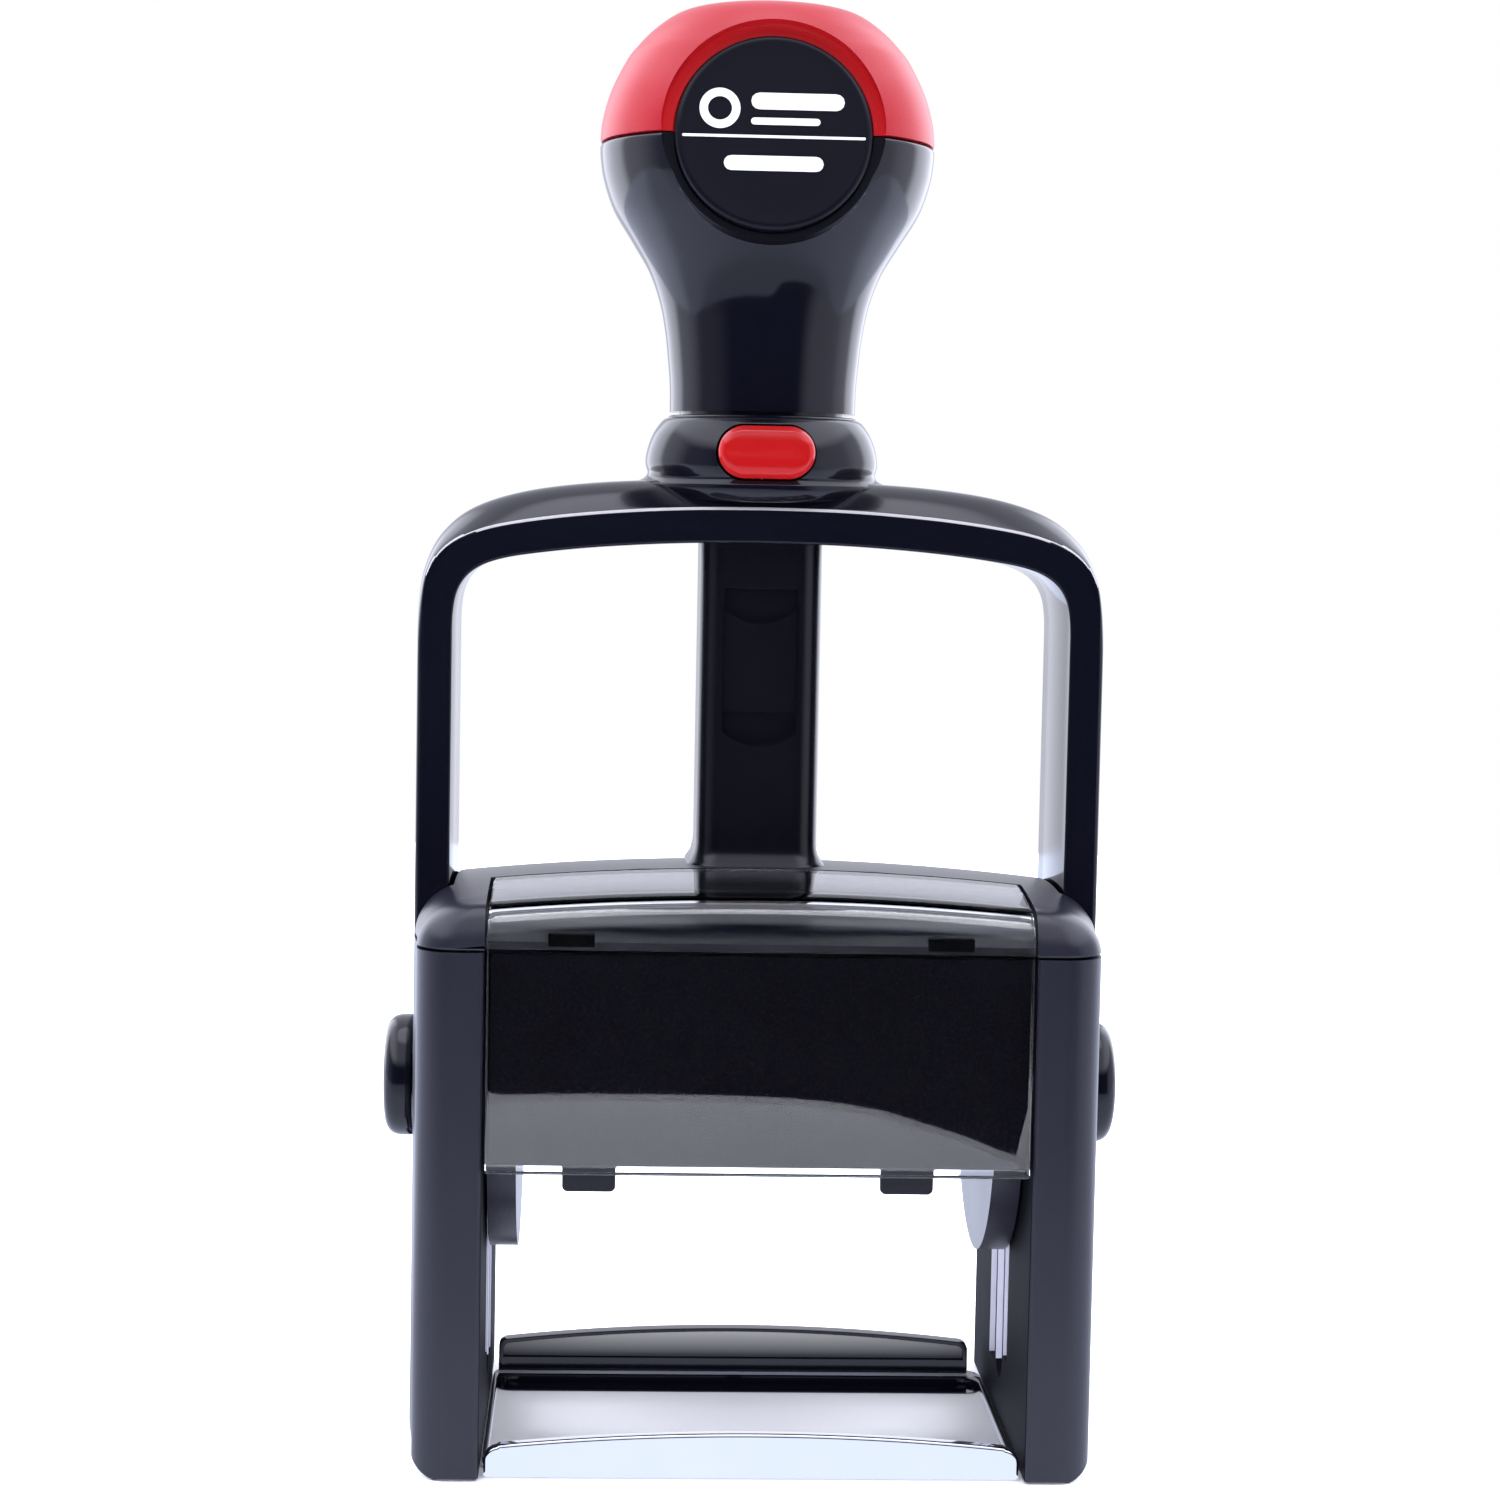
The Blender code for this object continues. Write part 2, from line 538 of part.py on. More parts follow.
seat = turned("spring_seat", [(0.0, 146.7), (8.5, 146.7), (8.5, 145.2), (2.4, 145.2),
                              (2.4, 142.4), (1.9, 142.0), (0.7, 142.0), (0.7, 144.0),
                              (0.0, 144.0)], steps=32)
finish(seat, STEEL)
screw = turned("handle_screw", [(0.0, 151.0), (1.0, 151.0), (1.0, 150.4), (1.2, 150.4), (3.9, 150.4),
                                (4.1, 150.1), (4.1, 149.3), (2.0, 149.3), (2.0, 147.0),
                                (0.0, 147.0)], steps=24)
finish(screw, STEEL)

# ---------------------------------------------------------------- lock button
button = plate("lock_button", arc(2.5, 115.8, 3.0, -90, 90, 8) + arc(-2.5, 115.8, 3.0, 90, 270, 8),
               (-14.7, -9.6), 'XZ')
tooth = box("button_tooth", (-3.8, 3.8), (-10.2, -8.9), (113.9, 117.7), CUTTERS)
boolean(button, tooth, 'UNION')
finish(bevel(button, 0.45, 2, 50), RED_GLOSS)

# ---------------------------------------------------------------- die carrier
lobe = ([(15.0, 4.6), (-15.0, 4.6), (-15.6, 0.0)]
        + arc(0, 0, 20.0, 200, 340, 14) + [(15.6, 0.0)])
lobe = [(y, z + AXLE_Z) for y, z in lobe]
carrier = plate("die_carrier", rounded(-14.4, 14.4, AXLE_Z + 1.6, AXLE_Z + 4.6, 0.6, 2),
                (-28.4, 28.4), 'YZ')
for s in (-1, 1):
    flange = plate("carrier_flange_%d" % (s + 1), lobe,
                   (-30.5, -27.9) if s < 0 else (27.9, 30.5), 'YZ', CUTTERS)
    boolean(carrier, flange, 'UNION')
for y in (-9.5, 9.5):
    rib = box("carrier_rib_%d" % int(y + 10), (-28.4, 28.4), (y - 0.8, y + 0.8),
              (AXLE_Z - 3.0, AXLE_Z + 2.0), CUTTERS)
    boolean(carrier, rib, 'UNION')
eye = rod("carrier_eye", (-40, 0, AXLE_Z), (40, 0, AXLE_Z), AXLE_R + 0.3, sides=28, where=CUTTERS)
boolean(carrier, eye)
finish(carrier, CHARCOAL)
foam = box("die_foam", (-28.2, 28.2), (-14.3, 14.3), (AXLE_Z + 4.9, AXLE_Z + 5.9))
finish(bevel(foam, 0.2, 1), FOAM)
rubber = box("text_plate", (-28.2, 28.2), (-14.4, 14.4), (AXLE_Z + 6.2, AXLE_Z + 7.0))
relief = plate("plate_relief", rounded(-26.2, 26.2, -12.0, 12.0, 1.6, 3),
               (AXLE_Z + 6.6, AXLE_Z + DIE_H), 'XY', CUTTERS)
field = plate("plate_field", rounded(-24.8, 24.8, -10.6, 10.6, 1.0, 3),
              (AXLE_Z + 7.2, AXLE_Z + DIE_H + 2), 'XY', CUTTERS)
boolean(relief, field)
boolean(rubber, relief, 'UNION')
for i, (w, y) in enumerate(((18.0, 6.6), (22.0, 2.4), (22.0, -1.8), (14.0, -6.0))):
    line = box("plate_line_%d" % i, (-w, w), (y - 0.9, y + 0.9),
               (AXLE_Z + 6.6, AXLE_Z + DIE_H), CUTTERS)
    boolean(rubber, line, 'UNION')
finish(rubber, RUBBER)

# ---------------------------------------------------------------- ink cartridge
tray = box("cartridge_tray", (-29.9, 29.9), (-21.0, 23.7), (50.5, 59.5))
grip_plate = plate("tray_flange", rounded(-30.3, 30.3, 50.0, 59.6, 1.0, 3), (23.2, 25.9), 'XZ',
                   CUTTERS)
boolean(tray, grip_plate, 'UNION')
pull = box("tray_pull", (-12, 12), (25.0, 30), (52.6, 57.0), CUTTERS)
boolean(tray, pull)
pocket = box("tray_pocket", (-28.3, 28.3), (-14.8, 14.8), (45, 57.2), CUTTERS)
boolean(tray, pocket)
relief_top = box("tray_top", (-27.5, 27.5), (-18.5, 21.0), (58.3, 65), CUTTERS)
boolean(tray, relief_top)
finish(tray, CHARCOAL)
pad = box("ink_pad", (-28.0, 28.0), (-14.5, 14.5), (AXLE_Z + DIE_H + 0.4, 56.9))
finish(bevel(pad, 0.3, 1), INK)

# ---------------------------------------------------------------- clear cover
def cover_line(off):
    """Outer line of the cover, from the top panel round to the lower edge."""
    r = 4.0 - off
    cx, cz = COVER_Y + 4.0, 62.0
    top = [(-9.3, crown(0, -9.3) - off), (-15.0, crown(0, -15.0) - off * 1.01)]
    return top + [(cx + r * math.cos(a), cz + r * math.sin(a)) for a in
                  [math.radians(82 + (180 - 82) * i / 6) for i in range(7)]] \
        + [(COVER_Y + off, COVER_LOW)]


shape = cover_line(0.0) + list(reversed(cover_line(COVER_T)))
cover = plate("front_cover", shape, (-COVER_W, COVER_W), 'YZ')
for s in (-1, 1):
    x = s * 21.2
    window = box("cover_window_%d" % (s + 1), (x - 2.6, x + 2.6), (-30, -23), (60.5, 61.8), CUTTERS)
    boolean(cover, window)
finish(cover, CLEAR, 40)

back = plate("cover_backing",
             [(-29.6, 35.6), (-21.9, 35.6), (-21.9, 33.0), (-21.5, 32.6), (-16.3, 32.6),
              (-15.9, 33.0), (-15.9, 35.6), (13.9, 35.6), (13.9, 33.0), (14.3, 32.6),
              (19.5, 32.6), (19.9, 33.0), (19.9, 35.6), (29.6, 35.6), (29.6, 59.6), (-29.6, 59.6)],
             (-23.3, -22.1), 'XZ')
finish(back, CHARCOAL)
card = box("index_card", (-29.4, 29.4), (-24.05, -23.65), (36.0, 59.4))
finish(card, CARD)


# ---------------------------------------------------------------- joint empties
def pivot(name, at, members):
    """Empty on a joint's axis, with the pieces that move there under it."""
    empty = bpy.data.objects.new(name, None)
    empty.empty_display_size = 0.01
    PARTS.objects.link(empty)
    empty.location = Vector(at) * MM
    bpy.context.view_layer.update()
    for member in members:
        obj = bpy.data.objects[member]
        obj.parent = empty
        obj.matrix_parent_inverse = empty.matrix_world.inverted()
    return empty


handle_slide = pivot("handle_slide_axis", (0, 0, BRIDGE_LOW),
                     ("yoke_frame", "handle_grip", "handle_cap", "badge_disc", "spring_seat",
                      "handle_screw", "axle_left", "axle_right"))
die_axis = pivot("die_flip_axis", (0, 0, AXLE_Z), ("die_carrier", "die_foam", "text_plate"))
button_axis = pivot("button_axis", (0, -14.7, 115.8), ("lock_button",))
for child in (die_axis, button_axis):
    child.parent = handle_slide
    child.matrix_parent_inverse = handle_slide.matrix_world.inverted()
pivot("cartridge_axis", (0, 0, 55.0), ("cartridge_tray", "ink_pad"))
pivot("cover_axis", (0, COVER_Y, 50.0), ("front_cover", "cover_backing", "index_card"))
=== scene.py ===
"""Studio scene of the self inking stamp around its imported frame."""

import math

import bmesh
import bpy
from mathutils import Matrix, Vector


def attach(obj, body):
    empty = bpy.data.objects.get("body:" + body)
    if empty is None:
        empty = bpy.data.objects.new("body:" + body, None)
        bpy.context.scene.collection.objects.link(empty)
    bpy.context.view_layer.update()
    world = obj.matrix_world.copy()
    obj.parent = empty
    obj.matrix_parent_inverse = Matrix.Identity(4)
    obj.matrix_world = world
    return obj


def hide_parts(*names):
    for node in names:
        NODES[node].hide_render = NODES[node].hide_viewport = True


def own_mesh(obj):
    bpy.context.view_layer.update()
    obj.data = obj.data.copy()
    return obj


MM = 0.001
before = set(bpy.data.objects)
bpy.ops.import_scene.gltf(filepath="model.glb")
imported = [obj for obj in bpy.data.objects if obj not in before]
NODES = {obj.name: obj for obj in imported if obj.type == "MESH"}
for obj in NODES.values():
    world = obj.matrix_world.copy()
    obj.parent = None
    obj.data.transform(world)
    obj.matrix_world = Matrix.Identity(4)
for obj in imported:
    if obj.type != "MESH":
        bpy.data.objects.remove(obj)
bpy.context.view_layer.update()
scene = bpy.context.scene

# ------------------------------------------------------------------ dimensions (mm)
CLEAR_W, CHEEK_X, CHEEK_Y, CHEEK_Z = 30.8, 39.4, 25.6, 59.8
WEB_X, POST_Y = 35.2, 11.6
LEG_IN, LEG_OUT, LEG_Y, LEG_END = 35.5, 39.5, 11.3, 34.4
AXLE_Z, AXLE_R, TRAVEL, DIE_H = 41.5, 2.5, 33.3, 8.0
CAP_Z, CROWN_Z = 60.1, 67.4
COL_X, COL_Y, COL_FOOT, COL_TOP = 7.15, 7.0, 67.7, 111.0
SEAM_Z, NECK_Z, TOTAL_H, BORE_R = 151.4, 120.5, 167.7, 9.0
BADGE_R, BADGE_Z, BADGE_Y, BADGE_TILT = 11.1, 151.5, -15.6, math.radians(9.0)
COVER_W, COVER_LOW, COVER_Y, COVER_T = 30.5, 35.0, -25.9, 1.5


# ------------------------------------------------------------------ node materials
def new_mat(name):
    mat = bpy.data.materials.new(name)
    mat.use_nodes = True
    nt = mat.node_tree
    return mat, nt, nt.nodes["Principled BSDF"]


def plastic(name, rgb, rough, spread=0.03, grain=0.0, grain_scale=2500.0, coat=0.0,
            tint=None, ior=1.5, wave=0.0, sheen=0.0, specular=0.5):
    """Moulded plastic: colour drift, uneven gloss, fine moulded texture and a slow waviness."""
    mat, nt, b = new_mat(name)
    L = nt.links
    tc = nt.nodes.new("ShaderNodeTexCoord")
    big = nt.nodes.new("ShaderNodeTexNoise")
    big.inputs["Scale"].default_value = 60.0
    big.inputs["Detail"].default_value = 3.0
    L.new(tc.outputs["Object"], big.inputs["Vector"])
    ramp = nt.nodes.new("ShaderNodeMapRange")
    ramp.inputs["To Min"].default_value = max(rough - spread, 0.02)
    ramp.inputs["To Max"].default_value = rough + spread
    L.new(big.outputs["Fac"], ramp.inputs["Value"])
    L.new(ramp.outputs["Result"], b.inputs["Roughness"])
    mix = nt.nodes.new("ShaderNodeMix")
    mix.data_type = 'RGBA'
    second = tint or tuple(min(1.0, c * 1.18 + 0.001) for c in rgb)
    mix.inputs[6].default_value = (*rgb, 1.0)
    mix.inputs[7].default_value = (*second, 1.0)
    L.new(big.outputs["Fac"], mix.inputs["Factor"])
    L.new(mix.outputs[2], b.inputs["Base Color"])
    b.inputs["IOR"].default_value = ior
    b.inputs["Specular IOR Level"].default_value = specular
    if coat:
        b.inputs["Coat Weight"].default_value = coat
        b.inputs["Coat Roughness"].default_value = 0.05
    if sheen:
        b.inputs["Sheen Weight"].default_value = sheen
    normal_from = None
    if wave:
        slow = nt.nodes.new("ShaderNodeTexNoise")
        slow.inputs["Scale"].default_value = 180.0
        slow.inputs["Detail"].default_value = 1.0
        L.new(tc.outputs["Object"], slow.inputs["Vector"])
        bump0 = nt.nodes.new("ShaderNodeBump")
        bump0.inputs["Strength"].default_value = wave
        bump0.inputs["Distance"].default_value = 0.0002
        L.new(slow.outputs["Fac"], bump0.inputs["Height"])
        normal_from = bump0
    if grain:
        fine = nt.nodes.new("ShaderNodeTexNoise")
        fine.inputs["Scale"].default_value = grain_scale
        fine.inputs["Detail"].default_value = 2.0
        L.new(tc.outputs["Object"], fine.inputs["Vector"])
        bump = nt.nodes.new("ShaderNodeBump")
        bump.inputs["Strength"].default_value = grain
        bump.inputs["Distance"].default_value = 0.0001
        L.new(fine.outputs["Fac"], bump.inputs["Height"])
        if normal_from:
            L.new(normal_from.outputs["Normal"], bump.inputs["Normal"])
        normal_from = bump
    if normal_from:
        L.new(normal_from.outputs["Normal"], b.inputs["Normal"])
    return mat


def metal(name, rgb, rough, spread=0.02, brushed=0.0):
    mat, nt, b = new_mat(name)
    L = nt.links
    b.inputs["Metallic"].default_value = 1.0
    tc = nt.nodes.new("ShaderNodeTexCoord")
    mp = nt.nodes.new("ShaderNodeMapping")
    mp.inputs["Scale"].default_value = (60.0, 900.0, 900.0) if brushed else (90.0, 90.0, 90.0)
    L.new(tc.outputs["Object"], mp.inputs["Vector"])
    noise = nt.nodes.new("ShaderNodeTexNoise")
    noise.inputs["Scale"].default_value = 1.0 if not brushed else 2.0
    noise.inputs["Detail"].default_value = 3.0
    L.new(mp.outputs["Vector"], noise.inputs["Vector"])
    ramp = nt.nodes.new("ShaderNodeMapRange")
    ramp.inputs["To Min"].default_value = max(rough - spread, 0.01)
    ramp.inputs["To Max"].default_value = rough + spread
    L.new(noise.outputs["Fac"], ramp.inputs["Value"])
    L.new(ramp.outputs["Result"], b.inputs["Roughness"])
    mix = nt.nodes.new("ShaderNodeMix")
    mix.data_type = 'RGBA'
    mix.inputs[6].default_value = (*rgb, 1.0)
    mix.inputs[7].default_value = (*(c * 0.93 for c in rgb), 1.0)
    L.new(noise.outputs["Fac"], mix.inputs["Factor"])
    L.new(mix.outputs[2], b.inputs["Base Color"])
    if brushed:
        bump = nt.nodes.new("ShaderNodeBump")
        bump.inputs["Strength"].default_value = brushed
        bump.inputs["Distance"].default_value = 0.00005
        L.new(noise.outputs["Fac"], bump.inputs["Height"])
        L.new(bump.outputs["Normal"], b.inputs["Normal"])
    return mat


def fibre(name, rgb, rough, scale, strength, sheen=0.0, second=None, specular=0.5):
    """Felt, foam, rubber or paper: cells or fibres as colour and bump."""
    mat, nt, b = new_mat(name)
    L = nt.links
    b.inputs["Roughness"].default_value = rough
    b.inputs["Sheen Weight"].default_value = sheen
    b.inputs["Specular IOR Level"].default_value = specular
    tc = nt.nodes.new("ShaderNodeTexCoord")
    vor = nt.nodes.new("ShaderNodeTexVoronoi")
    vor.inputs["Scale"].default_value = scale
    L.new(tc.outputs["Object"], vor.inputs["Vector"])
    noise = nt.nodes.new("ShaderNodeTexNoise")
    noise.inputs["Scale"].default_value = scale * 2.5
    noise.inputs["Detail"].default_value = 4.0
    L.new(tc.outputs["Object"], noise.inputs["Vector"])
    mix = nt.nodes.new("ShaderNodeMix")
    mix.data_type = 'RGBA'
    mix.inputs[6].default_value = (*rgb, 1.0)
    mix.inputs[7].default_value = (*(second or tuple(c * 1.5 + 0.004 for c in rgb)), 1.0)
    L.new(vor.outputs["Distance"], mix.inputs["Factor"])
    L.new(mix.outputs[2], b.inputs["Base Color"])
    add = nt.nodes.new("ShaderNodeMath")
    add.operation = 'ADD'
    L.new(vor.outputs["Distance"], add.inputs[0])
    L.new(noise.outputs["Fac"], add.inputs[1])
    bump = nt.nodes.new("ShaderNodeBump")
    bump.inputs["Strength"].default_value = strength
    bump.inputs["Distance"].default_value = 0.0002
    L.new(add.outputs["Value"], bump.inputs["Height"])
    L.new(bump.outputs["Normal"], b.inputs["Normal"])
    return mat


def clear_plastic(name, rgb, rough):
    mat, nt, b = new_mat(name)
    L = nt.links
    b.inputs["Transmission Weight"].default_value = 1.0
    b.inputs["IOR"].default_value = 1.49
    b.inputs["Base Color"].default_value = (*rgb, 1.0)
    tc = nt.nodes.new("ShaderNodeTexCoord")
    noise = nt.nodes.new("ShaderNodeTexNoise")
    noise.inputs["Scale"].default_value = 70.0
    noise.inputs["Detail"].default_value = 2.0
    L.new(tc.outputs["Object"], noise.inputs["Vector"])
    ramp = nt.nodes.new("ShaderNodeMapRange")
    ramp.inputs["To Min"].default_value = max(rough - 0.004, 0.0)
    ramp.inputs["To Max"].default_value = rough + 0.004
    L.new(noise.outputs["Fac"], ramp.inputs["Value"])
    L.new(ramp.outputs["Result"], b.inputs["Roughness"])
    return mat


BLACK = plastic("visual_black_gloss", (0.0022, 0.0024, 0.0055), 0.10, 0.025, grain=0.02, wave=0.03)
COLUMN = plastic("visual_column_black", (0.0020, 0.0020, 0.0045), 0.22, 0.04, grain=0.05, wave=0.02)
CHARCOAL = plastic("visual_charcoal_satin", (0.0085, 0.0085, 0.0150), 0.29, 0.03, grain=0.16,
                   grain_scale=3200.0)
DARK = plastic("visual_dark_inner", (0.005, 0.005, 0.009), 0.34, 0.04, grain=0.12)
RED = plastic("visual_red_satin", (0.235, 0.0035, 0.0085), 0.32, 0.03, grain=0.16,
              grain_scale=3600.0, tint=(0.27, 0.0055, 0.013), specular=0.34)
RED_GLOSS = plastic("visual_red_gloss", (0.27, 0.0040, 0.0045), 0.10, 0.02, tint=(0.31, 0.007, 0.008),
                    wave=0.02)
# painted light: a brighter, duller copy of the red for the ring inside the cap's recess, lifting the shade
# there
RED_RECESS_PAINTED_LIGHT = plastic("visual_red_recess_painted_light", (0.31, 0.0040, 0.0065), 0.42, 0.04, grain=0.16,
                   grain_scale=3600.0, tint=(0.35, 0.006, 0.009), specular=0.16)
# painted highlight: light grey plastic in place of the bright reflection along the yoke's front edge
PAINTED_HIGHLIGHT_EDGE = plastic("visual_painted_highlight_edge", (0.30, 0.29, 0.31), 0.16, 0.04, grain=0.08)
# painted shade: near-black, dull plastic on the lip and mouth round the badge pocket
SHADE = plastic("visual_painted_shade_pocket", (0.0035, 0.0035, 0.0060), 0.44, 0.05, grain=0.12, specular=0.06)
BADGE = plastic("visual_badge_black", (0.0022, 0.0024, 0.0055), 0.30, 0.03, grain=0.05, specular=0.25)
PRINT = plastic("visual_print_white", (0.62, 0.63, 0.66), 0.45, 0.04, grain=0.08)
# painted light: pale plastic on the web window walls and on the ledge before the rear bar
PAINTED_LIGHT_PALE = plastic("visual_painted_light_pale", (0.55, 0.56, 0.68), 0.35, 0.04, grain=0.05)
# painted shade: near-black, dull blocks behind the cover stand for the dark snap slots
SLOT_SHADE = plastic("visual_slot_painted_shade", (0.001, 0.001, 0.002), 0.6, 0.05, grain=0.05, specular=0.05)
# painted reflection: the rear bar's recessed face runs from near black at its foot to light grey at its top
BAR_PAINTED_REFLECTION = plastic("visual_bar_face_painted_reflection", (0.20, 0.21, 0.21), 0.30, 0.05, grain=0.05)
bar_nt = BAR_PAINTED_REFLECTION.node_tree
bar_tc = bar_nt.nodes.new("ShaderNodeTexCoord")
bar_sep = bar_nt.nodes.new("ShaderNodeSeparateXYZ")
bar_nt.links.new(bar_tc.outputs["Object"], bar_sep.inputs["Vector"])
bar_reflection_ramp = bar_nt.nodes.new("ShaderNodeMapRange")
bar_reflection_ramp.inputs["From Min"].default_value = 0.0030
bar_reflection_ramp.inputs["From Max"].default_value = 0.0062
bar_nt.links.new(bar_sep.outputs["Z"], bar_reflection_ramp.inputs["Value"])
bar_reflection_mix = bar_nt.nodes.new("ShaderNodeMix")
bar_reflection_mix.data_type = 'RGBA'
bar_reflection_mix.inputs[6].default_value = (0.016, 0.018, 0.021, 1.0)
bar_reflection_mix.inputs[7].default_value = (0.43, 0.44, 0.43, 1.0)
bar_nt.links.new(bar_reflection_ramp.outputs["Result"], bar_reflection_mix.inputs["Factor"])
bar_nt.links.new(bar_reflection_mix.outputs[2], bar_nt.nodes["Principled BSDF"].inputs["Base Color"])
# painted shade: a darker, less glossy copy of the charcoal where the housing top lies under the cover
UNDER_COVER_SHADE = plastic("visual_under_cover_painted_shade", (0.004, 0.005, 0.009), 0.30, 0.05, grain=0.05, specular=0.10)
# painted shade: a darker, dull copy of the charcoal on the cheeks' inner faces and the web between the posts
WEB_SHADE = plastic("visual_web_painted_shade", (0.004, 0.004, 0.007), 0.62, 0.05, grain=0.1, specular=0.04)
CHROME = metal("visual_chrome", (0.90, 0.92, 0.94), 0.05, 0.02)
STEEL = metal("visual_steel", (0.56, 0.56, 0.58), 0.26, 0.06, brushed=0.15)
CLEAR = clear_plastic("visual_clear", (0.95, 0.965, 0.985), 0.015)
CARD = fibre("visual_card_black", (0.003, 0.003, 0.006), 0.75, 2600.0, 0.05, specular=0.06)
RUBBER = fibre("visual_rubber", (0.24, 0.075, 0.05), 0.62, 1800.0, 0.12)
FOAM = fibre("visual_foam", (0.14, 0.14, 0.15), 0.92, 1500.0, 0.9)
FELT = fibre("visual_ink_felt", (0.006, 0.006, 0.016), 0.7, 1300.0, 0.8, sheen=0.3)


# ------------------------------------------------------------------ geometry helpers
def link(obj):
    scene.collection.objects.link(obj)
    return obj


def mesh_obj(name, verts, faces):
    me = bpy.data.meshes.new(name)
    me.from_pydata([Vector(v) * MM for v in verts], [], faces)
    me.validate()
    return link(bpy.data.objects.new(name, me))


def loft(name, rings, caps=True):
    """Closed rings of equal length, joined by quads."""
    n = len(rings[0])
    verts = [p for r in rings for p in r]
    faces = []
    for i in range(len(rings) - 1):
        for j in range(n):
            k = (j + 1) % n
            faces.append((i * n + j, i * n + k, (i + 1) * n + k, (i + 1) * n + j))
    if caps:
        faces.append(tuple(reversed(range(n))))
        faces.append(tuple(range((len(rings) - 1) * n, len(rings) * n)))
    obj = mesh_obj(name, verts, faces)
    out(obj)
    return obj


def out(obj):
    bm = bmesh.new()
    bm.from_mesh(obj.data)
    bmesh.ops.remove_doubles(bm, verts=bm.verts, dist=1e-7)
    bmesh.ops.recalc_face_normals(bm, faces=bm.faces)
    bm.to_mesh(obj.data)
    bm.free()


def spline(points, per):
    """Catmull-Rom points through a list of tuples of any length."""
    pts = [tuple(float(c) for c in p) for p in points]
    res = []
    for i in range(len(pts) - 1):
        p0 = pts[max(i - 1, 0)]
        p1, p2 = pts[i], pts[i + 1]
        p3 = pts[min(i + 2, len(pts) - 1)]
        for k in range(per):
            t = k / per
            res.append(tuple(0.5 * ((2 * b) + (-a + c) * t + (2 * a - 5 * b + 4 * c - d) * t * t
                                    + (-a + 3 * b - 3 * c + d) * t ** 3)
                             for a, b, c, d in zip(p0, p1, p2, p3)))
    res.append(pts[-1])
    return res


def arc(cx, cy, r, a0, a1, n):
    return [(cx + r * math.cos(math.radians(a0 + (a1 - a0) * i / n)),
             cy + r * math.sin(math.radians(a0 + (a1 - a0) * i / n))) for i in range(n + 1)]


def rounded(x0, x1, y0, y1, r, n=10):
    return (arc(x1 - r, y1 - r, r, 0, 90, n) + arc(x0 + r, y1 - r, r, 90, 180, n)
            + arc(x0 + r, y0 + r, r, 180, 270, n) + arc(x1 - r, y0 + r, r, 270, 360, n))


def place(ring, plane, at):
    if plane == 'XY':
        return [(u, v, at) for u, v in ring]
    if plane == 'XZ':
        return [(u, at, v) for u, v in ring]
    return [(at, u, v) for u, v in ring]


def prism(name, ring, lo, hi, plane):
    return loft(name, [place(ring, plane, lo), place(ring, plane, hi)])


def turned(name, profile, steps=96, matrix=None):
    """Turned solid about +Z; profile is a closed list of (radius, height)."""
    closed = profile[0][0] > 1e-6 or profile[-1][0] > 1e-6
    verts, index = [], []
    for r, h in profile:
        if r < 1e-6:
            index.append([len(verts)] * steps)
            verts.append((0.0, 0.0, h))
        else:
            row = []
            for s in range(steps):
                a = 2 * math.pi * s / steps
                row.append(len(verts))
                verts.append((r * math.cos(a), r * math.sin(a), h))
            index.append(row)
    faces = []
    pairs = list(zip(index, index[1:])) + ([(index[-1], index[0])] if closed else [])
    for a, b in pairs:
        for s in range(steps):
            t = (s + 1) % steps
            f = []
            for v in (a[s], a[t], b[t], b[s]):
                if v not in f:
                    f.append(v)
            if len(f) > 2:
                faces.append(tuple(f))
    obj = mesh_obj(name, verts, faces)
    if matrix is not None:
        obj.data.transform(matrix)
    out(obj)
    return obj


def block(name, x, y, z, r=0.0, seg=3):
    obj = prism(name, [(x[0], y[0]), (x[1], y[0]), (x[1], y[1]), (x[0], y[1])], z[0], z[1], 'XY')
    if r:
        bevel(obj, r, seg)
    return obj


def bevel(obj, width, seg=3, angle=35.0):
    m = obj.modifiers.new("edges", 'BEVEL')
    m.width = width * MM
    m.segments = seg
    m.limit_method = 'ANGLE'
    m.angle_limit = math.radians(angle)
    m.use_clamp_overlap = True
    m.harden_normals = False
    return obj


def apply_all(obj):
    bpy.context.view_layer.update()
    dg = bpy.context.evaluated_depsgraph_get()
    me = bpy.data.meshes.new_from_object(obj.evaluated_get(dg))
    obj.modifiers.clear()
    old = obj.data
    obj.data = me
    bpy.data.meshes.remove(old)
    return obj


def combine(obj, tool, how='DIFFERENCE', keep=False):
    m = obj.modifiers.new(how.lower(), 'BOOLEAN')
    m.operation = how
    m.solver = 'EXACT'
    m.object = tool
    apply_all(obj)
    if not keep:
        bpy.data.objects.remove(tool, do_unlink=True)
    return obj


def done(obj, mat, body, node=None, smooth=32.0, weld=True, weighted=True):
    apply_all(obj)
    if weld:
        bm = bmesh.new()
        bm.from_mesh(obj.data)
        bmesh.ops.remove_doubles(bm, verts=bm.verts, dist=2e-7)
        bmesh.ops.dissolve_degenerate(bm, edges=bm.edges, dist=1e-7)
        bm.to_mesh(obj.data)
        bm.free()
    me = obj.data
    me.materials.clear()
    for m in (mat if isinstance(mat, (list, tuple)) else [mat]):
        me.materials.append(m)
    me.shade_smooth()
    me.set_sharp_from_angle(angle=math.radians(smooth))
    if weighted:
        m = obj.modifiers.new("face_weighted", 'WEIGHTED_NORMAL')
        m.keep_sharp = True
        m.weight = 60
        apply_all(obj)
    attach(obj, body)
    if node:
        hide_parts(*([node] if isinstance(node, str) else node))
    return obj


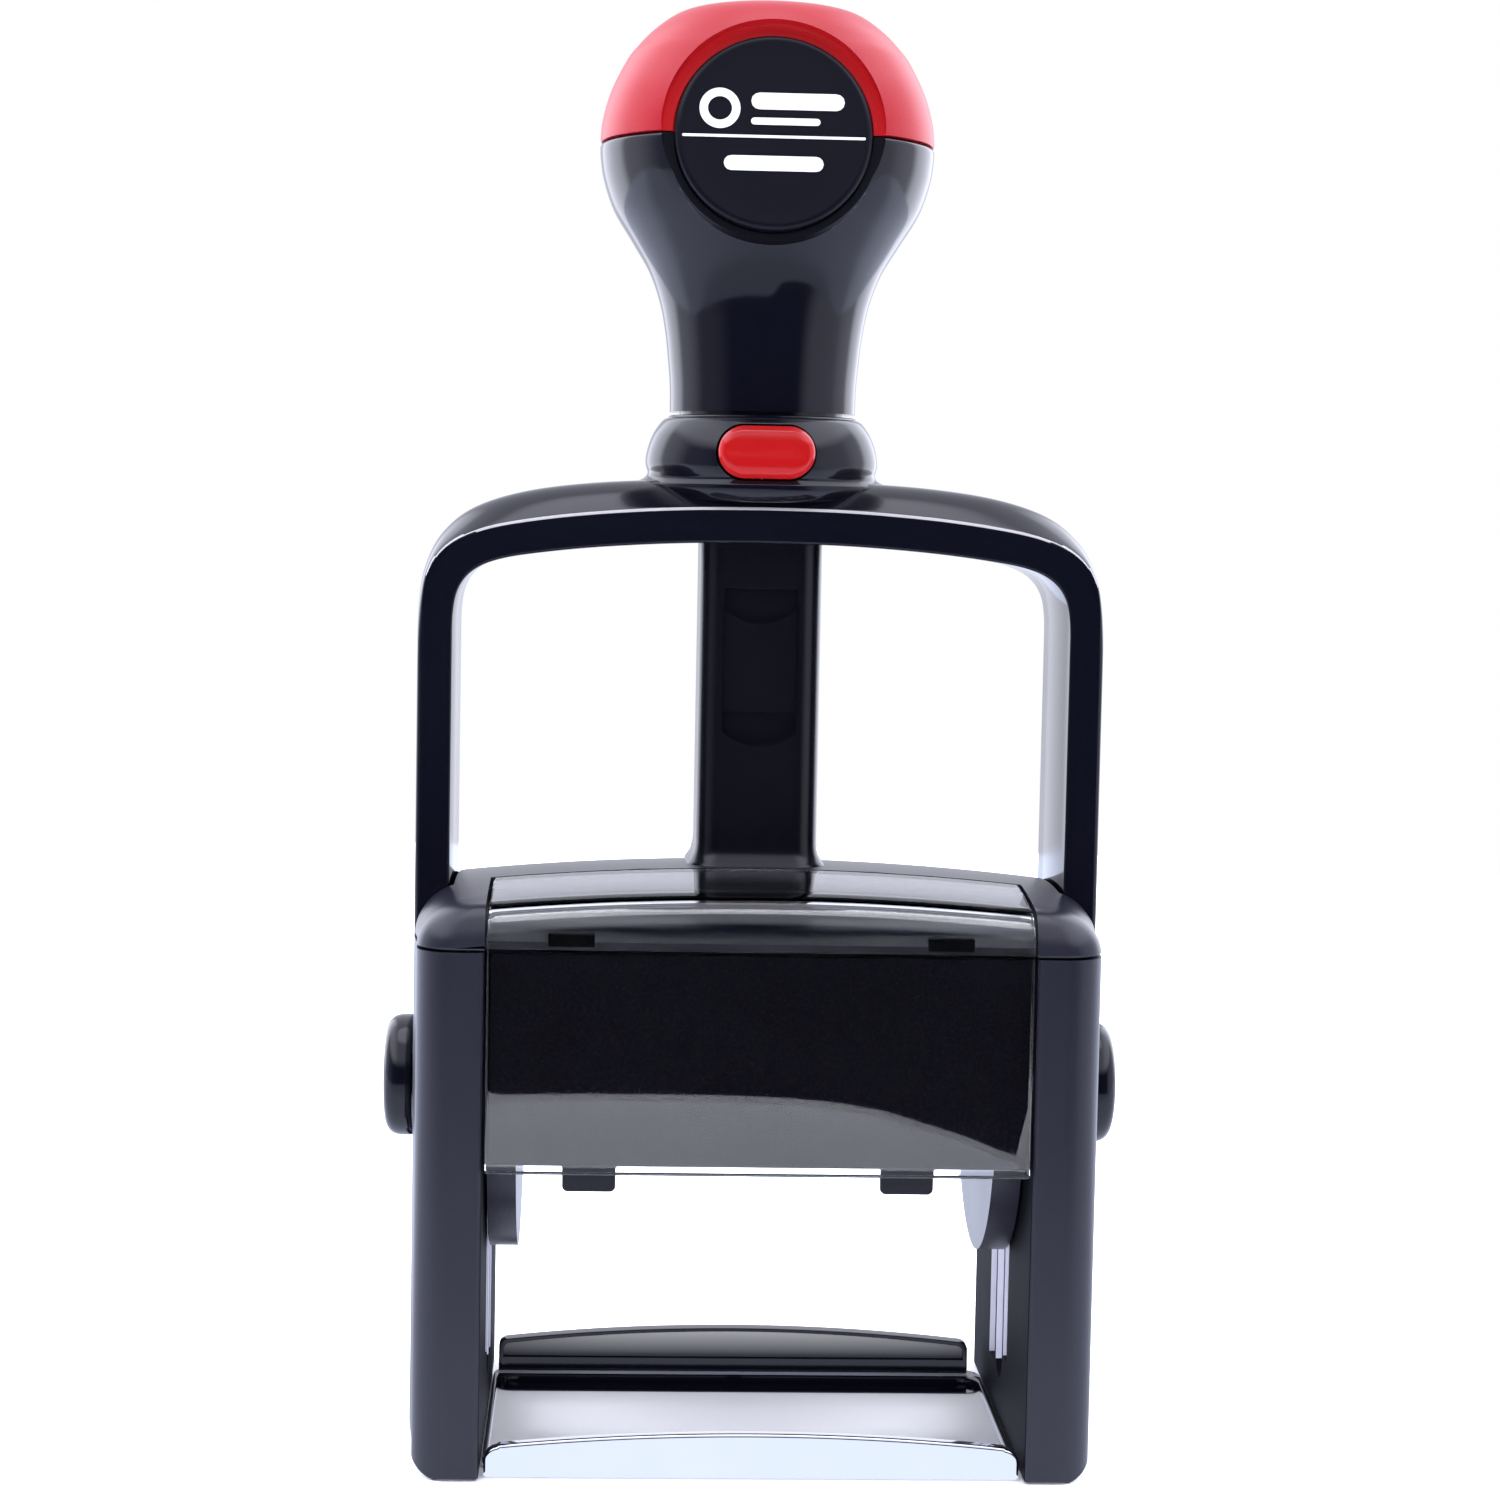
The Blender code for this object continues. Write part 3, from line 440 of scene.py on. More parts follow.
def rod(name, a, b, r, sides=48, r1=None):
    a, b = Vector(a), Vector(b)
    d = (b - a)
    turn = Vector((0, 0, 1)).rotation_difference(d).to_matrix().to_4x4()
    r1 = r if r1 is None else r1
    return turned(name, [(0.0, 0.0), (r, 0.0), (r1, d.length), (0.0, d.length)], sides,
                  Matrix.Translation(a * MM) @ turn)


# ------------------------------------------------------------------ knob and grip
KNOB = [(10.90, NECK_Z), (10.95, 123.5), (11.17, 126.2), (11.57, 129.7), (12.27, 133.2),
        (13.55, 136.7), (15.64, 140.2), (17.79, 143.7), (19.00, 147.1), (19.42, 149.5),
        (19.50, 151.4), (19.28, 154.1), (18.32, 157.5), (16.58, 161.0), (15.28, 162.7),
        (13.64, 164.4), (11.35, 166.1), (9.2, 166.95), (6.0, 167.45), (3.0, 167.65), (0.0, TOTAL_H)]
KNOB_LINE = spline(KNOB, 5)


def knob_part(lo, hi, extra_lo=None, extra_hi=None):
    """The part of the knob's outline between two heights, bottom to top."""
    pts = [p for p in KNOB_LINE if lo < p[1] < hi]

    def at(z):
        for (r0, z0), (r1, z1) in zip(KNOB_LINE, KNOB_LINE[1:]):
            if z0 <= z <= z1 and z1 > z0:
                return r0 + (r1 - r0) * (z - z0) / (z1 - z0)
        return KNOB_LINE[-1][0]
    return [(at(lo), lo)] + pts + ([(at(hi), hi)] if hi < TOTAL_H else [(0.0, TOTAL_H)])


n_vec = Vector((0.0, -math.cos(BADGE_TILT), math.sin(BADGE_TILT)))
c_vec = Vector((0.0, BADGE_Y, BADGE_Z))
badge_matrix = (Matrix.Translation(c_vec * MM)
                @ Vector((0, 0, 1)).rotation_difference(n_vec).to_matrix().to_4x4())
# axes on the disc: right stays +X, up is the disc's own upward direction
badge_axes = Matrix(((1, 0, 0, 0), (0, 0, -1, 0), (0, 1, 0, 0), (0, 0, 0, 1)))
badge_frame = (Matrix.Translation(c_vec * MM) @ Matrix.Rotation(-BADGE_TILT, 4, 'X')
               @ Matrix.Rotation(math.pi / 2, 4, 'X'))


def recess_tool(name):
    """Flat pocket for the disc with a sloping, softly rounded mouth."""
    prof = [(0.0, -1.9), (BADGE_R + 0.16, -1.9), (BADGE_R + 0.16, -1.30)]
    prof += spline([(BADGE_R + 0.20, -1.22), (11.9, -1.12), (12.55, -0.82), (12.85, -0.2),
                    (12.90, 0.6), (12.95, 2.0)], 5)
    prof += [(13.3, 3.2), (16.5, 7.0), (0.0, 7.0)]
    return turned(name, prof, 160, badge_matrix)


grip_line = knob_part(NECK_Z, SEAM_Z - 0.10)
prof = grip_line[:-1] + [(grip_line[-1][0] - 0.10, grip_line[-1][1] - 0.10),
                         (grip_line[-1][0] - 0.28, grip_line[-1][1])]
prof = list(reversed(prof))
prof += [(10.6, NECK_Z - 0.0), (9.75, NECK_Z), (9.75, 119.3), (BORE_R, 119.3), (BORE_R, 147.0),
         (2.4, 147.0), (2.4, 149.0), (4.6, 149.0), (4.6, SEAM_Z - 0.10)]
grip = turned("grip_body", prof, 160)
lip = turned("lip_tool", [(0.0, -7.0), (12.45, -7.0), (12.30, -3.6), (12.15, -1.6), (12.05, -0.85),
                          (11.90, -0.55), (11.70, -0.45), (0.0, -0.45)], 160, badge_matrix)
trim = block("trim_tool", (-30, 30), (-40, 30), (SEAM_Z - 0.10, 190))
combine(lip, trim)
combine(grip, lip, 'UNION')
combine(grip, recess_tool("recess_a"))
done(grip, [BLACK, SHADE], "yoke", "handle_grip", 38)
to_badge = badge_matrix.inverted()


def by_radius(obj, limit):
    """Second material on the faces around the badge pocket: painted shade on the grip, a painted brighter red
    on the cap.
    """
    near = [to_badge @ v.co for v in obj.data.vertices]
    near = [math.hypot(w.x, w.y) < limit * MM and w.z > -6.5 * MM for w in near]
    turn = to_badge.to_3x3()
    for poly in obj.data.polygons:
        c, n = to_badge @ poly.center, turn @ poly.normal
        outward = n.x * c.x + n.y * c.y > 0 and n.z > 0.3      # still the round outside
        if all(near[i] for i in poly.vertices) and not outward:
            poly.material_index = 1


by_radius(grip, 12.50)

cap_line = knob_part(SEAM_Z + 0.10, TOTAL_H)
cap_line = [(cap_line[0][0] - 0.28, cap_line[0][1]), (cap_line[0][0] - 0.10, cap_line[0][1] + 0.10)] \
    + cap_line[1:]
prof = list(reversed(cap_line)) + [(11.2, SEAM_Z + 0.10), (11.2, 157.0), (8.0, 160.0), (0.0, 160.0)]
knob = turned("knob_cap", prof, 160)
combine(knob, recess_tool("recess_b"))
# the ring round the badge pocket takes the painted brighter red
done(knob, [RED, RED_RECESS_PAINTED_LIGHT], "yoke", "handle_cap", 38)
by_radius(knob, 13.30)

# badge: dished disc with a bright lower chamfer, and a plain white device on it
prof = [(0.0, -1.5), (BADGE_R - 0.25, -1.5), (BADGE_R, -1.3), (BADGE_R, -0.42), (BADGE_R - 0.12, -0.22),
        (BADGE_R - 0.40, -0.02), (BADGE_R - 0.62, 0.03), (BADGE_R - 0.85, -0.02), (8.0, -0.02), (0.0, -0.02)]
badge = turned("badge_plate", prof, 160, badge_matrix)
done(badge, BADGE, "yoke", "badge_disc", 40)


def flat_on_badge(name, ring, lift=0.05):
    """Thin printed shape on the badge; ring in disc coordinates, mm."""
    obj = loft(name, [[(x, y, -0.03) for x, y in ring], [(x, y, lift) for x, y in ring]])
    obj.data.transform(badge_frame)
    out(obj)
    return done(obj, PRINT, "yoke", None, 40)


def bar_ring(x0, x1, y, h):
    r = h / 2
    return arc(x1 - r, y, r, -90, 90, 6) + arc(x0 + r, y, r, 90, 270, 6)


flat_on_badge("badge_line", bar_ring(-10.3, 10.3, -0.55, 0.30))
flat_on_badge("badge_mark_top", bar_ring(-2.6, 7.9, 3.5, 1.9))
flat_on_badge("badge_mark_mid", bar_ring(-2.6, 5.2, 1.2, 0.8))
flat_on_badge("badge_mark_low", bar_ring(-5.6, 5.6, -3.6, 1.7))
dot_outer, dot_inner = arc(-6.1, 2.6, 2.3, 0, 352.5, 47), arc(-6.1, 2.6, 1.35, 0, 352.5, 47)
dot = loft("badge_mark_ring", [[(x, y, -0.03) for x, y in dot_inner], [(x, y, 0.05) for x, y in dot_inner],
                               [(x, y, 0.05) for x, y in dot_outer], [(x, y, -0.03) for x, y in dot_outer],
                               [(x, y, -0.03) for x, y in dot_inner]], caps=False)
dot.data.transform(badge_frame)
out(dot)
done(dot, PRINT, "yoke", None, 40)

# ------------------------------------------------------------------ yoke
PAIRS = [((35.5, 30.0), (39.5, 30.0)), ((35.5, 50.0), (39.5, 50.0)), ((35.5, 70.0), (39.5, 70.0)),
         ((35.5, 84.0), (39.5, 84.0)), ((35.5, 92.0), (39.5, 92.6)), ((35.42, 97.0), (39.42, 98.6)),
         ((34.75, 99.9), (38.72, 102.6)), ((33.0, 101.9), (36.9, 106.1)),
         ((30.0, 103.15), (33.4, 108.95)), ((25.0, 104.0), (27.6, 110.9)),
         ((18.0, 104.75), (19.6, 112.05)), ((9.0, 105.3), (9.6, 112.6)), ((0.0, 105.45), (0.0, 112.7))]
flat = [(a[0], a[1], b[0], b[1]) for a, b in PAIRS]
half = spline(flat, 9)
line = half + [(-p[0], p[1], -p[2], p[3]) for p in reversed(half[:-1])]


def smoothstep(a, b, t):
    t = min(max((t - a) / (b - a), 0.0), 1.0)
    return t * t * (3 - 2 * t)


def yoke_ring(ix, iz, ox, oz):
    """Section of the yoke: flat front and rear bands, a large round on the outer edges."""
    thick = math.hypot(ox - ix, oz - iz)
    ux, uz = (ox - ix) / thick, (oz - iz) / thick
    k = smoothstep(93.0, 109.0, oz)
    ru = 0.75 + (thick - 3.95 - 0.75) * k       # height of the bevel above the flat band
    ry = 0.80 + 5.3 * k                        # depth of the bevel
    ri = 0.34
    th = math.radians(50.0) * k
    p0 = (thick - ru, LEG_Y)
    p3 = (thick, LEG_Y - ry)
    t0, t1 = ru * (0.55 + 0.13 * k), ry * (0.55 - 0.19 * k)
    p1 = (p0[0] + t0 * math.cos(th), p0[1] - t0 * math.sin(th))
    p2 = (p3[0], p3[1] + t1)
    curve = []
    for i in range(1, 15):
        t = i / 14
        c0, c1, c2, c3 = (1 - t) ** 3, 3 * t * (1 - t) ** 2, 3 * t * t * (1 - t), t ** 3
        curve.append((c0 * p0[0] + c1 * p1[0] + c2 * p2[0] + c3 * p3[0],
                      c0 * p0[1] + c1 * p1[1] + c2 * p2[1] + c3 * p3[1]))
    e0 = (p0[0] - 0.32, LEG_Y)
    e2 = curve[0]
    edge = [((1 - t) ** 2 * e0[0] + 2 * t * (1 - t) * p0[0] + t * t * e2[0],
             (1 - t) ** 2 * e0[1] + 2 * t * (1 - t) * p0[1] + t * t * e2[1])
            for t in (0.0, 0.25, 0.5, 0.75)]
    front = edge + curve                       # from the band to the top
    pts = list(reversed(front))
    for cu, cy, a0, a1 in ((ri, LEG_Y - ri, 90, 180), (ri, -LEG_Y + ri, 180, 270)):
        for i in range(5):
            a = math.radians(a0 + (a1 - a0) * i / 4)
            pts.append((cu + ri * math.cos(a), cy + ri * math.sin(a)))
    pts += [(u, -y) for u, y in front]
    return [(ix + ux * u, y, iz + uz * u) for u, y in pts]


yoke = loft("yoke_body", [yoke_ring(*p) for p in line])
end = [(LEG_Y + 1, 130), (-LEG_Y - 1, 130), (-LEG_Y - 1, 45), (-LEG_Y - 0.01, LEG_END + 5.6)] \
    + arc(-LEG_Y + 5.5, LEG_END + 5.5, 5.5, 180, 270, 14) \
    + arc(LEG_Y - 5.5, LEG_END + 5.5, 5.5, 270, 360, 14) + [(LEG_Y + 1, 45)]
combine(yoke, prism("end_tool", end, -50, 50, 'YZ'), 'INTERSECT')
COLLAR = [(11.05, 119.85), (11.45, 119.70), (11.95, 119.25), (12.75, 118.05), (13.32, 116.6),
          (13.62, 115.2), (13.60, 114.2), (13.30, 113.35), (13.05, 112.85), (13.15, 112.45),
          (13.35, 112.05), (13.30, 111.5), (12.95, 110.9), (12.5, 110.4), (11.9, 110.1)]
outer = spline(COLLAR, 5)
prof = [(10.1, 120.1), (10.85, 120.1), (10.98, 120.0)] + outer + [(5.0, 110.1), (5.0, 117.0), (10.1, 117.0)]
collar = turned("collar_tool", prof, 160)
for v in collar.data.vertices:                # the foot runs out softly along the yoke
    r = math.hypot(v.co.x, v.co.y)
    if r > 11.5 * MM and v.co.z < 113.6 * MM:
        v.co.x *= 1 + 0.16 * (1 - smoothstep(111.6, 113.6, v.co.z / MM)) * (abs(v.co.x) / r) ** 6
combine(yoke, collar, 'UNION')
combine(yoke, prism("well_tool", rounded(-7.5, 7.5, -7.35, 7.35, 3.3, 12), 95, 112.5, 'XY'))
combine(yoke, rod("bore_tool", (0, 0, 112.0), (0, 0, 119.1), BORE_R, 96))
combine(yoke, rod("mouth_tool", (0, 0, 119.0), (0, 0, 125), 10.05, 96))
slot_ring = arc(2.5, 115.8, 3.25, -90, 90, 20) + arc(-2.5, 115.8, 3.25, 90, 270, 20)
combine(yoke, prism("slot_tool", slot_ring, -20, -5, 'XZ'))
wide = [(u * 1.0, v) for u, v in arc(2.5, 115.8, 4.0, -90, 90, 20) + arc(-2.5, 115.8, 4.0, 90, 270, 20)]
near = arc(2.5, 115.8, 3.26, -90, 90, 20) + arc(-2.5, 115.8, 3.26, 90, 270, 20)
combine(yoke, loft("flare_tool", [place(near, 'XZ', -12.6), place(near, 'XZ', -13.15),
                                  place(wide, 'XZ', -14.2), place(wide, 'XZ', -20)]))
for s in (-1, 1):
    combine(yoke, rod("eye_tool", (s * 30, 0, AXLE_Z), (s * 45, 0, AXLE_Z), AXLE_R + 0.3, 48))
done(yoke, [BLACK, PAINTED_HIGHLIGHT_EDGE], "yoke", "yoke_frame", 60, weighted=False)
for poly in yoke.data.polygons:                # painted highlight: a light grey line along the front edge of the arch
    c, n = poly.center / MM, poly.normal
    if -LEG_Y - 0.05 < c.y < -LEG_Y + 0.20 and -0.93 < n.y < -0.50 and n.z > 0.15 and 101 < c.z < 109.6:
        poly.material_index = 1

# ------------------------------------------------------------------ lock button
rings = []
for inset, y in ((0.0, -9.8), (0.0, -13.0), (0.0, None), (0.06, None), (0.2, None), (0.42, None),
                 (0.75, None), (1.15, None), (1.6, None), (2.1, None), (2.7, None)):
    r, k = 3.0 - inset, 2.5
    ring = arc(k, 115.8, r, -90, 90, 28) + arc(-k, 115.8, r, 90, 270, 28)
    if y is None:
        rim_drop = 0.75 * (1 - min(inset / 0.75, 1.0)) ** 2
        rings.append([(x, -14.72 + rim_drop + 0.62 * abs((z - 115.8) / 3.0) ** 2.2
                       + 0.22 * abs(x / 5.5) ** 3, z) for x, z in ring])
    else:
        rings.append(place(ring, 'XZ', y))
button = loft("button_body", rings)
combine(button, block("tooth_tool", (-3.8, 3.8), (-10.4, -9.7), (113.9, 117.7)), 'UNION')
done(button, RED_GLOSS, "button", "lock_button", 40)

# ------------------------------------------------------------------ axles
for s, name in ((-1, "axle_left"), (1, "axle_right")):
    a0, a1, hd = 28.3, 39.85, 43.4
    head = spline([(0.0, hd), (3.0, hd - 0.03), (5.2, hd - 0.14), (6.2, hd - 0.42), (6.82, hd - 0.95),
                   (7.12, hd - 1.65), (7.2, hd - 2.5)], 5)
    prof = head + [(7.2, a1 + 0.35), (7.05, a1 + 0.1), (6.8, a1), (AXLE_R, a1), (AXLE_R, a0 + 0.4),
                   (AXLE_R - 0.4, a0), (0.0, a0)]
    turn = Matrix.Rotation(math.pi / 2 * s, 4, 'Y')
    axle = turned(name + "_body", prof, 96, Matrix.Translation((0, 0, AXLE_Z * MM)) @ turn)
    # shallow ring groove on the face of the head
    ring = turned("ring_tool", [(4.3, hd + 2), (4.7, hd + 2), (4.7, hd - 0.42), (4.3, hd - 0.42)], 96,
                  Matrix.Translation((0, 0, AXLE_Z * MM)) @ turn)
    combine(axle, ring)
    done(axle, BLACK, "yoke", name, 34)


# ------------------------------------------------------------------ guide column
def column_ring(grow, z, n=12):
    return place(rounded(-COL_X - grow, COL_X + grow, -COL_Y - grow, COL_Y + grow, 3.2 + grow, n), 'XY', z)


levels = [(1.05, 67.4), (0.98, 67.75), (0.72, 68.1), (0.46, 68.5), (0.24, 69.0), (0.10, 69.5),
          (0.03, 70.1), (0.0, 70.8), (0.0, 90.0), (0.0, COL_TOP - 0.4), (-0.12, COL_TOP - 0.1),
          (-0.4, COL_TOP)]
column = loft("column_body", [column_ring(g, z) for g, z in levels])
combine(column, rod("boss_tool", (0, 0, 62.9), (0, 0, 68.5), 4.4, 48), 'UNION')
combine(column, prism("channel_tool", rounded(-4.4, 4.4, 83.6, 98.5, 0.5, 5), -9, -6.15, 'XZ'))
for i, (lo, hi) in enumerate(((95.9, 100.2), (81.6, 85.8))):
    shape = [(-4.25, hi)] + [(-4.25, lo + 1.7)] \
        + [(x, lo + 1.7 - 1.7 * (1 - (x / 4.25) ** 2)) for x in [-4.25 + 8.5 * k / 16 for k in range(1, 16)]] \
        + [(4.25, lo + 1.7), (4.25, hi)]
    combine(column, prism("pocket_tool", shape, -9, -5.0, 'XZ'))
combine(column, rod("core_tool", (0, 0, 70.0), (0, 0, 120), 4.0, 48))
combine(column, rod("tap_tool", (0, 0, 55), (0, 0, 68.9), 2.0, 32))
bevel(column, 0.14, 2, 50)
done(column, COLUMN, "root", "guide_column", 34)


# ------------------------------------------------------------------ housing cap
def crown(x, y):
    return CROWN_Z + 0.45 - 1.75 * (x / 33.5) ** 2 - 3.0 * ((y + 5.0) / 25.6) ** 2


SIDE_X = 38.55


def plan_ring(a, b, r, n=14, m=10):
    """Rounded rectangle with extra points on the sides, so that crowns stay smooth."""
    cor = rounded(-a, a, -b, b, r, n)
    res = []
    total = len(cor)
    for i in range(total):
        p, q = cor[i], cor[(i + 1) % total]
        d = math.hypot(q[0] - p[0], q[1] - p[1])
        res.append(p)
        if (i + 1) % (n + 1) == 0:
            for k in range(1, m):
                res.append((p[0] + (q[0] - p[0]) * k / m, p[1] + (q[1] - p[1]) * k / m))
    return res


def bulge(y):
    """The sides swell slightly towards the leg channels."""
    return 1.0 + 0.020 * (1 - smoothstep(11.5, 19.5, abs(y)))


rings = []
steps = 14
for i in range(steps + 1):
    t = math.pi / 2 * i / steps
    dx, dy = 4.9 * (1 - math.cos(t)), 3.0 * (1 - math.cos(t))
    a, b, r = SIDE_X - dx, CHEEK_Y - dy, 4.4
    ring = [(x * bulge(y), y) for x, y in plan_ring(a, b, max(r - 0.35 * dx, 2.2))]
    f = math.sin(t)
    rings.append([(x, y, CAP_Z + 0.0 + (crown(x, y) - CAP_Z) * (0.0 + f)) for x, y in ring])
rings.insert(0, [(x * bulge(y) * 0.997, y * 0.997, CAP_Z) for x, y in plan_ring(SIDE_X, CHEEK_Y, 4.4)])
rings[1] = [(x, y, CAP_Z + 0.18) for x, y, z in rings[1]]
a, b = SIDE_X - 4.9, CHEEK_Y - 3.0
for k in range(1, 13):
    f = 1 - k / 13
    ring = [(x * bulge(y), y) for x, y in plan_ring(a * f, b * f, 2.2 * f)]
    rings.append([(x, y, crown(x, y)) for x, y in ring])
cap = loft("housing_top", rings)
for s in (-1, 1):
    x0, x1 = (34.95, 42) if s > 0 else (-42, -34.95)
    combine(cap, block("notch_tool", (x0, x1), (-POST_Y, POST_Y), (50, 80)))
seat = [(-40, 50), (COVER_Y + COVER_T + 0.3, 50), (COVER_Y + COVER_T + 0.3, 61.0),
        (-22.9, 62.0), (-21.2, 62.8), (-9.0, 64.2), (-9.0, 80), (-40, 80)]
combine(cap, prism("seat_tool", seat, -CLEAR_W, CLEAR_W, 'YZ'))
combine(cap, block("hollow_tool", (-27.5, 27.5), (-19.5, 21.5), (50, 61.4)))
combine(cap, rod("cap_bore_tool", (0, 0, 55), (0, 0, 75), 4.8, 48))
bevel(cap, 0.22, 2, 48)
done(cap, [CHARCOAL, UNDER_COVER_SHADE], "root", "housing_cap", 36)
# painted shade on the housing faces under the cover
for poly in cap.data.polygons:
    c = poly.center / MM
    if abs(c.x) < CLEAR_W - 0.05 and c.y < -9.1 and c.z < crown(c.x, c.y) - 0.6 \
            and (c.z > 61.2 or poly.normal.y > -0.7):
        poly.material_index = 1


# ------------------------------------------------------------------ cheeks
def cheek(s):
    name = "cheek_left" if s < 0 else "cheek_right"
    half = (arc(CLEAR_W + 0.7, -CHEEK_Y + 0.7, 0.7, 180, 270, 6)
            + [(CLEAR_W + 2.5, -CHEEK_Y), (SIDE_X - 4.6, -CHEEK_Y)]
            + arc(SIDE_X - 4.4, -CHEEK_Y + 4.4, 4.4, 272, 356, 16)
            + [(SIDE_X + 0.06, -19.0), (SIDE_X + 0.28, -16.8), (SIDE_X + 0.55, -14.6),
               (SIDE_X + 0.75, -12.8), (SIDE_X + 0.78, -POST_Y - 0.45), (SIDE_X + 0.66, -POST_Y - 0.15),
               (SIDE_X + 0.35, -POST_Y), (WEB_X + 0.3, -POST_Y), (WEB_X, -POST_Y + 0.3)])
    ring = half + [(x, -y) for x, y in reversed(half)]
    ring = [(s * x, y) for x, y in ring]
    zs = [0.0, 12.0, 24.0, 36.0, 48.0, CHEEK_Z]

    body = loft(name + "_body", [place(ring, 'XY', z) for z in zs])
    side = ([(CLEAR_W - 1.5, 1.2), (CLEAR_W + 0.0, 0.35), (CLEAR_W + 0.8, 0.0), (CLEAR_W + 2.0, 0.0)]
            + arc(CHEEK_X - 4.7, 4.8, 4.8, 272, 360, 18)
            + [(CHEEK_X + 0.1, CHEEK_Z + 3), (CLEAR_W - 1.5, CHEEK_Z + 3)])
    side = [(s * x, z) for x, z in side]
    combine(body, prism("side_tool", side, -CHEEK_Y - 3, CHEEK_Y + 3, 'XZ'), 'INTERSECT')
    endv = rounded(-CHEEK_Y - 0.05, CHEEK_Y + 0.05, 0.0, CHEEK_Z + 20, 0.8, 8)
    combine(body, prism("end_tool", endv, min(s * 25, s * 45), max(s * 25, s * 45), 'YZ'), 'INTERSECT')
    w = AXLE_R + 0.4
    slot = arc(0, AXLE_Z, w, 0, 180, 20) + arc(0, AXLE_Z - TRAVEL, w, 180, 360, 20)
    lo, hi = min(s * 29, s * 37), max(s * 29, s * 37)
    combine(body, prism("axle_slot_tool", slot, lo, hi, 'YZ'))
    for ring in ([(-7.2, 9.0), (-3.9, 9.0), (-3.9, 32.0), (-7.2, 32.0)],
                 [(3.9, 6.0), (9.2, 6.0), (9.2, 32.0), (3.9, 32.0)]):
        combine(body, prism("window_tool", ring, lo, hi, 'YZ'))
    for y in (-18.4, 18.4):
        combine(body, rod("screw_tool", (s * 34.2, y, -2), (s * 34.2, y, 3.4), 2.5, 40))
        combine(body, rod("pilot_tool", (s * 34.2, y, 2), (s * 34.2, y, 13), 1.4, 24))
    bevel(body, 0.20, 2, 46)
    done(body, [CHARCOAL, WEB_SHADE, PAINTED_LIGHT_PALE], "root", name, 36)
    # painted shade on the inner faces and on the web between the posts
    for poly in body.data.polygons:
        c = poly.center / MM
        inner = abs(c.x) < 31.0 and poly.normal.x * s < -0.9 and c.y < 24.6
        if inner or (abs(c.x) < WEB_X + 0.1 and abs(c.y) < POST_Y - 0.2):
            poly.material_index = 1
        # painted light: the front-facing walls of the web windows are pale, for the bright background seen
        # through them
        if WEB_X - 4.5 < abs(c.x) < WEB_X and poly.normal.y < -0.9 and -4.5 < c.y < 9.6 and c.z < 33:
            poly.material_index = 2
    return body


cheek(-1)
cheek(1)

# ------------------------------------------------------------------ clear cover
rows = []
top = [(-9.3, crown(0, -9.3)), (-12.0, crown(0, -12.0)), (-15.0, crown(0, -15.0)),
       (-18.0, crown(0, -18.0)), (-20.4, crown(0, -20.4) - 0.05)]
cy, cz, cr = COVER_Y + 4.3, 62.3, 4.3
corner = [(cy + cr * math.cos(math.radians(a)), cz + cr * math.sin(math.radians(a)))
          for a in [84 + 96 * i / 16 for i in range(17)]]
down = [(COVER_Y, 62.3 - 26.6 * k / 10) for k in range(1, 11)] + [(COVER_Y, 35.35), (COVER_Y, 35.0)]
profile = top + corner + down
nx = 40
verts, faces = [], []
for i in range(nx + 1):
    x = -COVER_W + 2 * COVER_W * i / nx
    for y, z in profile:
        drop = 1.45 * (x / COVER_W) ** 2 * smoothstep(58.0, 65.0, z)
        verts.append((x, y, z - drop))
m = len(profile)
for i in range(nx):
    for j in range(m - 1):
        faces.append((i * m + j, (i + 1) * m + j, (i + 1) * m + j + 1, i * m + j + 1))
cover = mesh_obj("cover_window", verts, faces)
bm = bmesh.new()
bm.from_mesh(cover.data)
bm.normal_update()
f = min(bm.faces, key=lambda q: q.calc_center_median().z)
if f.normal.y > 0:
    bmesh.ops.reverse_faces(bm, faces=bm.faces)
bm.to_mesh(cover.data)
bm.free()
sol = cover.modifiers.new("wall", 'SOLIDIFY')
sol.thickness = COVER_T * MM
sol.offset = -1.0
sol.use_even_offset = True
apply_all(cover)
out(cover)
bevel(cover, 0.35, 3, 50)
done(cover, CLEAR, "cover", "front_cover", 40)

back = prism("backing_plate",
             [(-30.35, 35.6), (-21.9, 35.6), (-21.9, 33.0), (-21.5, 32.6), (-16.3, 32.6),
              (-15.9, 33.0), (-15.9, 35.6), (13.9, 35.6), (13.9, 33.0), (14.3, 32.6),
              (19.5, 32.6), (19.9, 33.0), (19.9, 35.6), (30.35, 35.6), (30.35, 59.9), (-30.35, 59.9)],
             -23.3, -22.1, 'XZ')
bevel(back, 0.2, 2)
done(back, DARK, "cover", "cover_backing", 36)
card = prism("card_sheet", rounded(-30.2, 30.2, 35.9, 59.7, 0.4, 6), -24.05, -23.65, 'XZ')
bevel(card, 0.08, 1)
done(card, CARD, "cover", "index_card", 36)
# painted shade: dark blocks behind the cover where the snap slots show dark
for s in (-1, 1):
    x = 21.2 * s
    slot_shade_block = block("cover_catch_%s" % ("left" if s < 0 else "right"), (x - 2.6, x + 2.6),
                  (-24.2, -22.4), (60.45, 61.85), 0.12, 2)
    done(slot_shade_block, SLOT_SHADE, "cover", None, 36)

# ------------------------------------------------------------------ base bars and frame
bar_top = [(x, 3.7 + 1.6 * (1 - (x / 30.2) ** 2)) for x in [28.6 - 57.2 * i / 40 for i in range(41)]]
ring = [(-30.3, 0.1), (30.3, 0.1), (30.3, 2.0)] + arc(28.6, 2.0, 1.7, 8, 82, 8) + bar_top \
    + arc(-28.6, 2.0, 1.7, 98, 172, 8) + [(-30.3, 2.0)]
bar = prism("chrome_bar", ring, -24.35, -22.7, 'XZ')
bevel(bar, 0.42, 4, 40)
done(bar, CHROME, "root", "front_bar", 40)

BAR_SHIFT = -0.5


